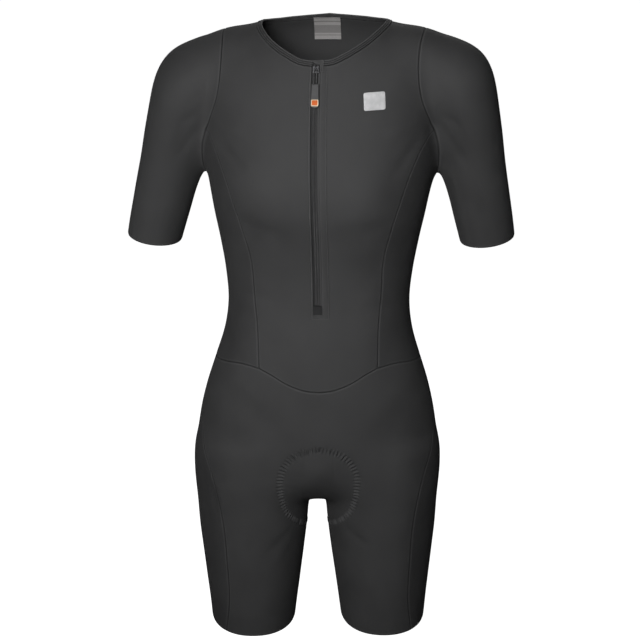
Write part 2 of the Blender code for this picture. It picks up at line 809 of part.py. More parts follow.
def suit_lines():
    """Every seam of the +X half, by name."""
    line = {
        "neck_front": seam(NECK_FRONT, NECK_FRONT_STEPS),
        "neck_back": seam(NECK_BACK, NECK_BACK_STEPS),
        "shoulder": seam(SHOULDER_SEAM, SHOULDER_STEPS),
        "armhole_front": seam(ARMHOLE_FRONT, ARMHOLE_STEPS),
        "under_front": seam(ARMHOLE_UNDER_FRONT, UNDERARM_STEPS),
        "under_back": seam(ARMHOLE_UNDER_BACK, UNDERARM_STEPS),
        "armhole_back": seam(ARMHOLE_BACK, ARMHOLE_STEPS),
        "princess_front": seam(PRINCESS_FRONT, PRINCESS_STEPS),
        "princess_back": seam(PRINCESS_BACK, PRINCESS_STEPS),
        "waist_front": seam(WAIST_FRONT, NECK_FRONT_STEPS + SHOULDER_STEPS),
        "waist_side_front": seam(WAIST_SIDE_FRONT, SIDE_STEPS),
        "waist_side_back": seam(WAIST_SIDE_BACK, SIDE_STEPS),
        "waist_back": seam(WAIST_BACK, NECK_BACK_STEPS + SHOULDER_STEPS),
    }
    top, foot = line["neck_front"][0], line["waist_front"][0]
    slit = front_at(SLIT, np.linspace(top[2], ZIP_FOOT, ZIP_STEPS + 1))
    slit[0] = top
    below = front_at(0.0, np.linspace(SLIT_FOOT, foot[2], BELOW_ZIP_STEPS + 1))
    below[-1] = foot
    line["slit"] = slit
    line["centre_front"] = np.vstack((slit, below))
    rows = ARMHOLE_STEPS + PRINCESS_STEPS
    top, foot = line["neck_back"][-1], line["waist_back"][-1]
    line["centre_back"] = front_at(0.0, np.linspace(top[2], foot[2], rows + 1), back=True)
    line["centre_back"][0], line["centre_back"][-1] = top, foot
    return line


def ring_rows(splits):
    """Rows of points across the pad's stitched ring, from its outer edge to its inner edge."""
    middle = seam(PAD_RING, 2 * RING_STEPS * splits)
    along = np.gradient(middle, axis=0)
    along[0], along[-1] = (1, 0, 0), (-1, 0, 0)
    outward = np.cross(along, normals_at(middle))
    outward /= np.linalg.norm(outward, axis=1, keepdims=True)
    if outward[0, 2] < 0:
        outward = -outward
    return [onto_form(middle + outward * side) for side in (RING_HALF, RING_CREST, -RING_CREST,
                                                            -RING_HALF)]


def ring_sheet(rows, splits):
    """The puckered band: coarse edges, fine crests, and a plain inner side."""
    size = len(rows[0])
    edge = np.arange(0, size, splits)
    points = np.vstack(rows)
    rise = np.zeros(len(points))
    for row in (1, 2):
        rise[row * size:(row + 1) * size] = PUCKER_RISE * np.where(np.arange(size) % 2, -1, 1)
    outer = []
    upper, lower, foot = size, 2 * size, 3 * size
    for near, far in zip(edge[:-1], edge[1:]):
        middle = near + splits // 2
        for k in range(near, far):
            corner = near if k < middle else far
            outer += [(corner, upper + k, upper + k + 1),
                      (upper + k, lower + k, lower + k + 1),
                      (upper + k, lower + k + 1, upper + k + 1),
                      (lower + k, foot + corner, lower + k + 1)]
        outer += [(near, upper + middle, far),
                  (lower + middle, foot + near, foot + far)]
    inner = []
    for near, far in zip(edge[:-1], edge[1:]):
        for row in range(3):
            a, b = row * size, (row + 1) * size
            inner += [(a + near, b + near, b + far), (a + near, b + far, a + far)]
    return Sheet(points, np.array(outer), np.array(inner), rise)


# ---------------------------------------------------------------- pieces

def make_body_panels(line, cloth, side_cloth):
    """Front with the zip's slit, back, and a side panel under each arm. Returns the back's sheet."""
    edge = joined(line["armhole_front"], line["princess_front"])
    front = patch(joined(line["neck_front"], line["shoulder"]), line["waist_front"],
                  line["centre_front"], edge)
    panel("front", whole([grid_sheet(front)]), cloth)
    edge = joined(line["armhole_back"][::-1], line["princess_back"])
    back = patch(joined(line["neck_back"][::-1], line["shoulder"]), line["waist_back"][::-1],
                 line["centre_back"], edge)
    back = whole([grid_sheet(back)])
    panel("back", back, cloth)
    side = patch(joined(line["under_front"], line["under_back"]),
                 joined(line["waist_side_front"], line["waist_side_back"]),
                 line["princess_front"], line["princess_back"])
    both_sides("side", [grid_sheet(side)], side_cloth)
    return merged(back)


def make_sleeves(line, cloth):
    """A short sleeve on each side, in four quarters round the arm."""
    armhole = joined(line["armhole_front"], line["under_front"], line["under_back"],
                     line["armhole_back"])
    steps = len(armhole) - 1
    cuff = cuff_line(np.linspace(0, 360, steps + 1))
    cuff[-1] = cuff[0]
    quarter = steps // 4
    guides = (OVERARM, ARM_FRONT, UNDERARM, ARM_BACK, OVERARM)
    lines = [line_between(armhole[k * quarter], guide, cuff[k * quarter], SLEEVE_STEPS)
             for k, guide in enumerate(guides)]
    lines[-1] = lines[0]
    sheets = []
    for k in range(4):
        span = slice(k * quarter, (k + 1) * quarter + 1)
        sheets.append(grid_sheet(patch(armhole[span], cuff[span], lines[k], lines[k + 1])))
    both_sides("sleeve", sheets, cloth)


def make_shorts(line, cloth, side_cloth):
    """Shorts: a front and a back that meet at the crotch, and a panel down each leg's side."""
    rows = ring_rows(PUCKER_SPLITS)
    coarse = [row[::PUCKER_SPLITS] for row in rows]
    outer_ring, inner_ring = coarse[0], coarse[-1]
    half = RING_STEPS
    length = CENTRE_STEPS + RING_STEPS + INSEAM_STEPS
    columns = len(line["waist_front"]) - 1
    front_hem = hem_line(np.concatenate((np.linspace(180, 90, columns + 1),
                                         np.linspace(90, PANEL_ANGLE, SIDE_STEPS + 1)[1:])))
    back_columns = len(line["waist_back"]) - 1
    back_hem = hem_line(-np.concatenate((
        np.linspace(180, 90, THIGH_BACK_STEPS + 1),
        np.linspace(90, PANEL_ANGLE, back_columns - THIGH_BACK_STEPS + 1)[1:])))
    back_hem[0] = front_hem[0]
    side_hem = hem_line(np.linspace(PANEL_ANGLE, -PANEL_ANGLE, SIDE_STEPS + 1))
    side_hem[0], side_hem[-1] = front_hem[-1], back_hem[-1]
    inseam = line_between(outer_ring[half], [], front_hem[0], INSEAM_STEPS)
    crotch = onto_form(np.array([[0.0, 0.0, CROTCH]]))[0]
    crotch_seam = line_between(crotch, [], inner_ring[half], LENS_UPPER_STEPS)
    panel_front = line_between(line["waist_side_front"][-1], LEG_PANEL_FRONT, front_hem[-1], length)
    panel_back = line_between(line["waist_side_back"][-1], LEG_PANEL_BACK, back_hem[-1], length)

    sheets = {}
    for name, waist, guide, seat, hem, edge, split, turn in (
            ("shorts_front", joined(line["waist_front"], line["waist_side_front"]), THIGH_FRONT,
             SEAT_FRONT, front_hem, panel_front, columns, 1),
            ("shorts_back", line["waist_back"][::-1], THIGH_BACK,
             SEAT_BACK, back_hem, panel_back, THIGH_BACK_STEPS, -1)):
        near, inside = outer_ring[::turn][:half + 1], inner_ring[::turn][:half + 1]
        centre = line_between(waist[0], [], near[0], CENTRE_STEPS)
        thigh = line_between(waist[split], guide, hem[split], length)
        inner_edge = joined(centre, near, inseam)
        lens = patch(inside[:LENS_UPPER_STEPS + 1], crotch_seam,
                     line_between(inside[0], seat, crotch, half - LENS_UPPER_STEPS),
                     inside[LENS_UPPER_STEPS:], evened=LENS_ROUNDS)
        band = [row[::turn][:half * PUCKER_SPLITS + 1] for row in rows]
        sheets[name] = [
            grid_sheet(patch(waist[:split + 1], hem[:split + 1], inner_edge, thigh)),
            grid_sheet(patch(waist[split:], hem[split:], thigh, edge)),
            grid_sheet(lens),
            ring_sheet(band, PUCKER_SPLITS),
        ]
        panel(name, whole(sheets[name]), cloth)
    side = patch(line["waist_side_back"], side_hem, panel_front, panel_back)
    both_sides("leg_side", [grid_sheet(side)], side_cloth)


def make_binding(line, cloth):
    """The ribbed binding round the neck, open at the zip."""
    neck = joined(line["neck_front"], line["neck_back"])
    along = np.gradient(neck, axis=0)
    along[-1] = (-1, 0, 0)
    inward = np.cross(normals_at(neck), along)
    inward /= np.linalg.norm(inward, axis=1, keepdims=True)
    inward[0] = (0, 0, 1) - normals_at(neck[:1])[0] * normals_at(neck[:1])[0, 2]
    inward[0] /= np.linalg.norm(inward[0])
    if inward[0] @ inward[1] < 0:
        inward[1:] = -inward[1:]
    sides = [0.0] + [side for side, _ in BINDING[1:]]
    grid = np.stack([onto_form(neck + inward * side) for side in sides])
    rise = np.repeat([height for _, height in BINDING], len(neck))
    panel("neck_binding", whole([grid_sheet(grid, rise=rise)]), cloth)


def make_zip(line, tape):
    """Two tapes with their teeth, the stop patch at the foot and the flap at the top."""
    heights = np.concatenate(([ZIP_TOP], line["slit"][:, 2]))
    sections = []
    for side, height in TAPE:
        base = front_at(side, heights)
        sections.append(base + normals_at(base) * height)
    sections = np.stack(sections, 1)
    for name, sign in (("zip_tape_left", 1), ("zip_tape_right", -1)):
        points, faces = swept_mesh(posed(sections * (sign, 1, 1)))
        mesh_object(name, points, faces, tape)
    sides = np.linspace(-STOP_SIZE / 2, STOP_SIZE / 2, 5)
    levels = np.linspace(STOP_TOP, STOP_TOP - STOP_SIZE, 5)
    stop = front_at(sides[None, :], levels[:, None])
    panel("zip_stop", [grid_sheet(stop)], tape, top=STOP_THICK + SEAM, thickness=STOP_THICK)
    sides, lower = np.array(GUARD).T
    share = np.linspace(0, 1, 4)[:, None]
    guard = front_at(sides[None, :], GUARD_TOP * (1 - share) + lower[None, :] * share)
    panel("zip_guard", [grid_sheet(guard)], tape, top=GUARD_LIFT + GUARD_THICK,
          thickness=GUARD_THICK)


def make_slider(metal):
    """The slider's shield with the pierced bridge that carries the pull. Returns the hole's place."""
    seat = front_at(0.0, SLIDER_LEVEL)
    slope = normals_at(seat[None])[0]
    middle = seat + slope * (SLIDER_LIFT + SLIDER_SIZE[1] / 2)
    turn = Matrix.Rotation(-np.arctan2(slope[2], -slope[1]), 4, "X")
    place = stance_matrix(SLIDER_LEVEL) @ Matrix.Translation(middle) @ turn
    hole = place @ Matrix.Translation((0, -(SLIDER_SIZE[1] + BRIDGE_DEPTH) / 2, 0))
    bridge = box_object("slider_bridge", (BRIDGE_WIDTH, BRIDGE_DEPTH + BRIDGE_WIDTH, BRIDGE_HEIGHT),
                        metal, 0.0004)
    bridge.matrix_world = hole @ Matrix.Translation((0, BRIDGE_WIDTH / 2, 0))
    bore = rod_object("slider_bore", BRIDGE_BORE, 4 * BRIDGE_WIDTH)
    bore.matrix_world = hole @ Matrix.Rotation(radians(90), 4, "Y")
    slider = box_object("zip_slider", SLIDER_SIZE, metal, 0.0007)
    slider.matrix_world = place
    for cutter, operation in ((bridge, "UNION"), (bore, "DIFFERENCE")):
        cut = slider.modifiers.new(operation.title(), "BOOLEAN")
        cut.operation = operation
        cut.object = cutter
        as_cutter(cutter)
    return hole.to_translation()


def make_pull(hinge, cord, rubber):
    """The cord's loop through the slider's bridge and the grip on it, hanging from the hinge."""
    hang = Matrix.Rotation(-radians(PULL_TILT), 4, "X")
    spin = stance_matrix(SLIDER_LEVEL).to_3x3().to_4x4()
    place = Matrix.Translation(hinge) @ spin @ hang
    bend = np.radians(np.linspace(0, 180, 9))
    route = [(-CORD_HALF, 0, -CORD_DROP)]
    route += [(-CORD_HALF * cos(angle), 0, CORD_HALF * (sin(angle) - 1)) for angle in bend]
    route += [(CORD_HALF, 0, -CORD_DROP)]
    line = bpy.data.curves.new("pull_cord", "CURVE")
    line.dimensions = "3D"
    line.bevel_depth = CORD_RADIUS
    line.bevel_resolution = 2
    line.use_fill_caps = True
    spline = line.splines.new("POLY")
    spline.points.add(len(route) - 1)
    for point, at in zip(spline.points, route):
        point.co = (*at, 1)
    loop = add_object("pull_cord", line, cord)
    loop.matrix_world = place

    foot = GRIP_LENGTH - GRIP_FOOT_HALF
    bend = np.radians(np.linspace(0, 180, 13))
    outline = [(GRIP_FOOT_HALF * cos(angle), 0, -foot - GRIP_FOOT_HALF * sin(angle)) for angle in bend]
    outline += [(-GRIP_TOP_HALF, 0, -GRIP_CORNER), (GRIP_CORNER - GRIP_TOP_HALF, 0, 0),
                (GRIP_TOP_HALF - GRIP_CORNER, 0, 0), (GRIP_TOP_HALF, 0, -GRIP_CORNER)]
    mesh = bpy.data.meshes.new("pull_grip")
    mesh.from_pydata(outline, [], [range(len(outline))])
    grip = add_object("pull_grip", mesh, rubber)
    grip.matrix_world = place @ Matrix.Translation((0, 0, -CORD_DROP - SEAM))
    thick = grip.modifiers.new("Solidify", "SOLIDIFY")
    thick.thickness = GRIP_THICK
    thick.offset = 0
    add_bevel(grip, 0.0006)


def make_label(back, surface):
    """The woven label on the inner side of the back, below the neck. Its points are found straight
    below the form, on the facets of the back's inner side."""
    sides = np.linspace(LABEL_SIDE - LABEL_HALF, LABEL_SIDE + LABEL_HALF, 7)
    levels = np.linspace(LABEL_TOP, LABEL_FOOT, 7)
    label = front_at(sides[None, :], levels[:, None], back=True)
    inner = back.points - normals_at(back.points) * WALL
    facets = BVHTree.FromPolygons(inner.tolist(), back.inner.tolist())
    outward = normals_at(label).reshape(-1, 3)
    depth = [facets.ray_cast((*point,), (*-normal,))[3] for point, normal
             in zip(label.reshape(-1, 3), outward)]
    rise = -np.array([WALL if found is None else found for found in depth]) - SEAM
    panel("neck_label", [grid_sheet(label, rise)], surface, thickness=LABEL_THICK, even=True)


def main():
    """Build the whole suit."""
    clear_scene()
    for name in (COLLECTION, CUTTERS):
        bpy.context.scene.collection.children.link(bpy.data.collections.new(name))
    cloth = material("cloth", CLOTH, 0.85)
    side_cloth = material("side_cloth", DARK_CLOTH, 0.80)
    binding = material("binding", CLOTH, 0.75)
    tape = material("zip_black", TAPE_BLACK, 0.55)
    metal = material("zip_metal", METAL, 0.30, 1.0)
    rubber = material("rubber", RUBBER, 0.50)
    line = suit_lines()
    back = make_body_panels(line, cloth, side_cloth)
    make_sleeves(line, cloth)
    make_shorts(line, cloth, side_cloth)
    make_binding(line, binding)
    make_zip(line, tape)
    make_pull(make_slider(metal), material("cord", CORD_BLACK, 0.80), rubber)
    make_label(back, material("label", LABEL_GREY, 0.70))


main()
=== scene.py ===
"""Cuts, sews and dresses a short-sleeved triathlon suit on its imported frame.

Metres, +Z up, the front faces -Y and the wearer's left side is at +X. The cloth lies on one smooth
form: form() gives the distance from it. Each seam is a line laid on the form, each panel is a grid
between its seams, and each wall is that grid thickened inwards, with soft creases in both its sides
and a dip in its outer side beside each seam. All of this is worked out on an upright, symmetric form,
and posed() then gives it the slight turn and lean that it stands in.
"""
import json
from functools import lru_cache
from math import cos, pi, radians, sin

import bmesh
import bpy
import numpy as np
from bpy.props import FloatProperty, FloatVectorProperty, PointerProperty
from mathutils import Matrix, Vector


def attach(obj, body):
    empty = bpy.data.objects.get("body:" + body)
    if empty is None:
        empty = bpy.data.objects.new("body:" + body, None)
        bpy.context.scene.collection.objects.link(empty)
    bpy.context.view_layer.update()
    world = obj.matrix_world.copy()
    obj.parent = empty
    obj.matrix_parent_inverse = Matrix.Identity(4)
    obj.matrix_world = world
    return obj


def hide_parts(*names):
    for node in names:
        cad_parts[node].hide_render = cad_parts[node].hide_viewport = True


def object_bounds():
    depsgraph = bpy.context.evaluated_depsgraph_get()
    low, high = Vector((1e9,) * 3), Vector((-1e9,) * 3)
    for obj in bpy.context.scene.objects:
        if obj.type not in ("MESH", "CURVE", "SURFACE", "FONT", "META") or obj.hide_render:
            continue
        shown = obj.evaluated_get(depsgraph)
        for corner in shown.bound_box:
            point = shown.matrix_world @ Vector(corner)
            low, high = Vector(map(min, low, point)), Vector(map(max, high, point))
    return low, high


bl_info = {
    "name": "Triathlon suit",
    "version": (1, 0, 0),
    "blender": (4, 5, 0),
    "location": "3D View > Sidebar > Suit",
    "description": "Cuts, sews and dresses a short-sleeved triathlon suit on its packed frame",
    "category": "Add Mesh",
}

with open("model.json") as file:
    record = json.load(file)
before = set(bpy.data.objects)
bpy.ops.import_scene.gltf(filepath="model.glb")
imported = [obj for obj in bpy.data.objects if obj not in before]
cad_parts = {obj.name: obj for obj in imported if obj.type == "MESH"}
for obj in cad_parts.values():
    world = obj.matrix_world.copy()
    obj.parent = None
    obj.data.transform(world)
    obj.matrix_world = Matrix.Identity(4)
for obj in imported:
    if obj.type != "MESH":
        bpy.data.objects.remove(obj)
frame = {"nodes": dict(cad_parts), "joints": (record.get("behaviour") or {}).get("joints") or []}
CAD_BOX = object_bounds()
HINGE = next(joint for joint in frame["joints"] if joint["name"] == "pull_swing")["pos_m"]

WALL = 0.0015              # thickness of the cloth
SEAM = 0.0003              # gap between hard pieces that lie on one another
GAP = 0.00004              # half the gap between two pieces of cloth that are sewn together
STEP = 0.0002              # step for slopes of the form
LINE_POINTS = 241          # points of a dense line on the form
MOST_MOVE = 0.02           # furthest that a point moves at once on its way to the form
OUTSIDE = 0.25             # a depth that is outside the form everywhere

# Body tube: height, half width, depth to the front, depth to the back
BODY = (
    (-0.700, 0.1500, 0.078, 0.098),
    (-0.643, 0.1585, 0.085, 0.108),
    (-0.600, 0.1610, 0.089, 0.114),
    (-0.560, 0.1605, 0.093, 0.117),
    (-0.520, 0.1555, 0.095, 0.113),
    (-0.485, 0.1475, 0.096, 0.105),
    (-0.450, 0.1365, 0.095, 0.095),
    (-0.410, 0.1245, 0.091, 0.085),
    (-0.371, 0.1200, 0.087, 0.080),
    (-0.330, 0.1235, 0.088, 0.081),
    (-0.290, 0.1305, 0.095, 0.085),
    (-0.250, 0.1390, 0.103, 0.090),
    (-0.200, 0.1470, 0.104, 0.095),
    (-0.150, 0.1500, 0.097, 0.096),
    (-0.100, 0.1480, 0.086, 0.091),
    (-0.050, 0.1440, 0.072, 0.080),
    (0.000, 0.1400, 0.056, 0.066),
    (0.040, 0.1380, 0.048, 0.058),
)
BODY_SQUARENESS = 2.35     # 2 is an ellipse, and more is squarer
CROTCH = -0.637            # height of the crotch
CROTCH_ROUND = 0.080       # roundness of the body tube's lower end

# Line of the shoulders: side, height
SHOULDERS = (
    (0.000, 0.0150),
    (0.045, 0.0075),
    (0.090, -0.0090),
    (0.135, -0.0215),
    (0.180, -0.0305),
    (0.230, -0.0430),
    (0.280, -0.0600),
)
SHOULDER_DEPTH = 0.010     # how far behind the neck's middle the shoulder line runs
SHOULDER_RADIUS = 0.062    # roundness of the shoulders from front to back
SHOULDER_SLOPE = 0.93      # share of the height that counts as distance, because they slope
SHOULDER_ROUND = 0.040     # roundness between the shoulders and the body's sides

# Front darts, as two soft rises
DART_SIDE, DART_LEVEL, DART_RISE = 0.064, -0.228, 0.012
DART_ACROSS, DART_TALL = 0.048, 0.055
DART_FADE = 0.050          # depth over which the rise fades towards the side

# Leg tube: height, middle's side, half width, depth to the front, depth to the back
LEG = (
    (-0.900, 0.0880, 0.0530, 0.064, 0.062),
    (-0.830, 0.0878, 0.0545, 0.068, 0.066),
    (-0.790, 0.0872, 0.0585, 0.071, 0.070),
    (-0.750, 0.0868, 0.0635, 0.074, 0.076),
    (-0.710, 0.0864, 0.0685, 0.077, 0.083),
    (-0.670, 0.0862, 0.0730, 0.080, 0.091),
    (-0.630, 0.0862, 0.0750, 0.083, 0.100),
    (-0.580, 0.0850, 0.0740, 0.084, 0.108),
    (-0.530, 0.0820, 0.0680, 0.080, 0.100),
)
LEG_SQUARENESS = 2.15
LEG_TOP, LEG_TOP_ROUND = -0.560, 0.030
LEGS_BLEND = 0.020         # how softly the two legs meet
LEG_BLEND = 0.028          # how softly a leg runs into the body

# Arm tube: height, middle's side, middle's depth, half width, half depth
ARM = (
    (-0.3600, 0.2342, 0.026, 0.0330, 0.0380),
    (-0.3000, 0.2222, 0.022, 0.0365, 0.0410),
    (-0.2650, 0.2147, 0.018, 0.0388, 0.0430),
    (-0.2300, 0.2072, 0.015, 0.0405, 0.0450),
    (-0.1850, 0.1972, 0.012, 0.0428, 0.0480),
    (-0.1500, 0.1892, 0.009, 0.0460, 0.0520),
    (-0.1100, 0.1802, 0.006, 0.0483, 0.0560),
    (-0.0700, 0.1722, 0.004, 0.0505, 0.0590),
    (-0.0200, 0.1622, 0.004, 0.0520, 0.0600),
)
ARM_SQUARENESS = 2.0
ARM_ROUND = 0.075          # roundness of the shoulder's cap
ARM_BLEND = 0.042          # how softly an arm runs into the body

# Stance: height, turn in degrees, lean to the side, tilt of the shoulders
STANCE = (
    (-0.80, 1.0, 0.0000, 0.000),
    (-0.60, 1.0, -0.0010, 0.000),
    (-0.48, 0.5, -0.0003, 0.000),
    (-0.36, -1.5, 0.0015, 0.000),
    (-0.22, -4.0, 0.0035, 0.003),
    (-0.10, -6.5, 0.0060, 0.010),
    (0.02, -8.5, 0.0085, 0.015),
)

# Points where seams of the half at +X meet, and then the seams: side, depth, height. Each line
# is laid on the form.
NECK_END = (0.0885, 0.0040, -0.0060)      # the shoulder seam's end at the neck
SHOULDER_END = (0.1300, 0.0060, -0.0190)  # its end at the sleeve
PRINCESS_TOP = (0.1490, -0.0340, -0.1440) # the front princess seam's two ends
PRINCESS_FOOT = (0.0770, -0.0835, -0.4485)
BACK_TOP = (0.1475, 0.0400, -0.1540)      # the back princess seam's two ends
BACK_FOOT = (0.1160, 0.0520, -0.4500)
ARMPIT = (0.1532, 0.0060, -0.1950)        # the armhole's lowest point
WAIST_SIDE = (0.1365, -0.0080, -0.4485)   # the waist seam's outer side
SLIT = 0.0050              # half width of the zip's slit
ZIP_SIDE, ZIP_FINENESS = 0.022, 3.5       # width beside the zip whose columns are so much closer
ZIP_FOOT = -0.3645         # height where the zip's teeth end
SLIT_FOOT = -0.3760        # height where the slit ends
NECK_FRONT = (
    (SLIT, -0.0730, -0.0580),
    (0.0210, -0.0710, -0.0560),
    (0.0400, -0.0650, -0.0475),
    (0.0550, -0.0580, -0.0385),
    (0.0680, -0.0480, -0.0290),
    (0.0780, -0.0350, -0.0200),
    (0.0850, -0.0200, -0.0125),
    NECK_END,
)
NECK_BACK = (
    NECK_END,
    (0.0850, 0.0270, -0.0050),
    (0.0700, 0.0440, -0.0060),
    (0.0450, 0.0525, -0.0070),
    (0.0200, 0.0553, -0.0060),
    (0.0000, 0.0556, -0.0055),
)
SHOULDER_SEAM = (
    NECK_END,
    SHOULDER_END,
)
ARMHOLE_FRONT = (
    SHOULDER_END,
    (0.1275, -0.0330, -0.0400),
    (0.1285, -0.0480, -0.0700),
    (0.1340, -0.0490, -0.1050),
    (0.1425, -0.0420, -0.1280),
    PRINCESS_TOP,
)
ARMHOLE_UNDER_FRONT = (
    PRINCESS_TOP,
    (0.1545, -0.0200, -0.1720),
    (0.1537, -0.0080, -0.1880),
    ARMPIT,
)
ARMHOLE_UNDER_BACK = (
    ARMPIT,
    (0.1515, 0.0200, -0.1920),
    (0.1505, 0.0300, -0.1790),
    BACK_TOP,
)
ARMHOLE_BACK = (
    BACK_TOP,
    (0.1400, 0.0480, -0.1250),
    (0.1340, 0.0520, -0.1000),
    (0.1305, 0.0510, -0.0700),
    (0.1300, 0.0400, -0.0360),
    SHOULDER_END,
)
PRINCESS_FRONT = (
    PRINCESS_TOP,
    (0.1400, -0.0500, -0.1570),
    (0.1217, -0.0700, -0.1910),
    (0.1022, -0.0850, -0.2465),
    (0.0880, -0.0780, -0.2930),
    (0.0820, -0.0700, -0.3620),
    (0.0785, -0.0750, -0.3995),
    PRINCESS_FOOT,
)
PRINCESS_BACK = (
    BACK_TOP,
    (0.1300, 0.0640, -0.2050),
    (0.1170, 0.0680, -0.2650),
    (0.1030, 0.0600, -0.3300),
    (0.0990, 0.0560, -0.3750),
    BACK_FOOT,
)
WAIST_FRONT = (
    (0.0000, -0.0960, -0.4783),
    (0.0194, -0.0955, -0.4758),
    (0.0390, -0.0940, -0.4688),
    (0.0616, -0.0890, -0.4560),
    PRINCESS_FOOT,
)
WAIST_SIDE_FRONT = (
    PRINCESS_FOOT,
    (0.0964, -0.0730, -0.4450),
    (0.1210, -0.0470, -0.4465),
    WAIST_SIDE,
)
WAIST_SIDE_BACK = (
    WAIST_SIDE,
    (0.1340, 0.0220, -0.4490),
    BACK_FOOT,
)
WAIST_BACK = (
    BACK_FOOT,
    (0.0650, 0.0850, -0.4520),
    (0.0000, 0.0960, -0.4540),
)

# Sleeve: four lines from the armhole down to the cuff, between their ends
OVERARM = (
    (0.1680, 0.0060, -0.0290),
    (0.2080, 0.0060, -0.0530),
    (0.2290, 0.0070, -0.1000),
    (0.2400, 0.0100, -0.1600),
    (0.2500, 0.0150, -0.2250),
)
ARM_FRONT = (
    (0.1600, -0.0540, -0.1200),
    (0.1900, -0.0430, -0.1700),
    (0.2090, -0.0300, -0.2350),
)
UNDERARM = (
    (0.1660, 0.0090, -0.2250),
    (0.1780, 0.0160, -0.2620),
)
ARM_BACK = (
    (0.1620, 0.0640, -0.1250),
    (0.1920, 0.0620, -0.1750),
    (0.2100, 0.0600, -0.2350),
)
SLEEVE_SHARE = 6 / 7                      # share of the armhole's side that an upper quarter takes
CUFF = (0.2207, 0.0220, -0.2925)          # middle of the cuff
CUFF_FACES = (0.15, 0.17, -1.00)          # direction that the cuff's opening faces
HEM = -0.8080                             # height of the leg's hem at the side
HEM_DIP = 0.17                            # the hem drops to the front by this share of the depth
CUFF_START = (0.036, -0.042)              # half sizes of the ring that is laid on the form as the cuff
HEM_START = (0.056, -0.068)               # the same for the hem

# Shorts: lines between their ends
PAD_RING = (
    (0.0000, -0.0935, -0.5555),
    (0.0300, -0.0930, -0.5640),
    (0.0480, -0.0890, -0.5860),
    (0.0500, -0.0820, -0.6150),
    (0.0425, -0.0680, -0.6465),
    (0.0245, -0.0385, -0.6700),
    (0.0135, 0.0000, -0.6770),
    (0.0240, 0.0400, -0.6760),
    (0.0440, 0.0780, -0.6480),
    (0.0520, 0.1000, -0.6080),
    (0.0320, 0.1150, -0.5720),
    (0.0000, 0.1150, -0.5620),
)
SEAT_FRONT = (
    (0.0000, -0.0900, -0.5900),
    (0.0000, -0.0740, -0.6220),
    (0.0000, -0.0400, -0.6340),
)
SEAT_BACK = (
    (0.0000, 0.1130, -0.5900),
    (0.0000, 0.0980, -0.6180),
    (0.0000, 0.0600, -0.6320),
    (0.0000, 0.0300, -0.6340),
)
THIGH_FRONT = (
    (0.0790, -0.0920, -0.5000),
    (0.0810, -0.0900, -0.5600),
    (0.0820, -0.0850, -0.6300),
    (0.0840, -0.0790, -0.7000),
    (0.0860, -0.0720, -0.7700),
)
THIGH_BACK = (
    (0.0680, 0.1060, -0.5100),
    (0.0800, 0.1100, -0.5700),
    (0.0850, 0.1000, -0.6300),
    (0.0860, 0.0840, -0.7000),
    (0.0870, 0.0720, -0.7700),
)
LEG_PANEL_FRONT = (
    (0.1530, -0.0200, -0.5100),
    (0.1515, -0.0420, -0.5560),
    (0.1410, -0.0620, -0.5920),
    (0.1310, -0.0690, -0.6320),
    (0.1255, -0.0700, -0.6650),
    (0.1215, -0.0670, -0.7150),
    (0.1195, -0.0630, -0.7720),
)
LEG_PANEL_BACK = (
    (0.1340, 0.0600, -0.5100),
    (0.1370, 0.0700, -0.5700),
    (0.1310, 0.0740, -0.6300),
    (0.1260, 0.0680, -0.7000),
    (0.1230, 0.0580, -0.7700),
)
PANEL_ANGLE = 52           # the leg's side panel reaches this far round from the side, at the hem
THIGH_SHARES = (4 / 19, 14 / 19, 1)       # shares of the thigh level with the ring's ends and the hem
LENS_ROUNDS, LENS_FINE_ROUNDS = 80, 24    # times that the points within the ring are evened out

# Closer points beside a seam, as distances from it
EDGE = np.array((0.0004, 0.0009, 0.0016, 0.0027))

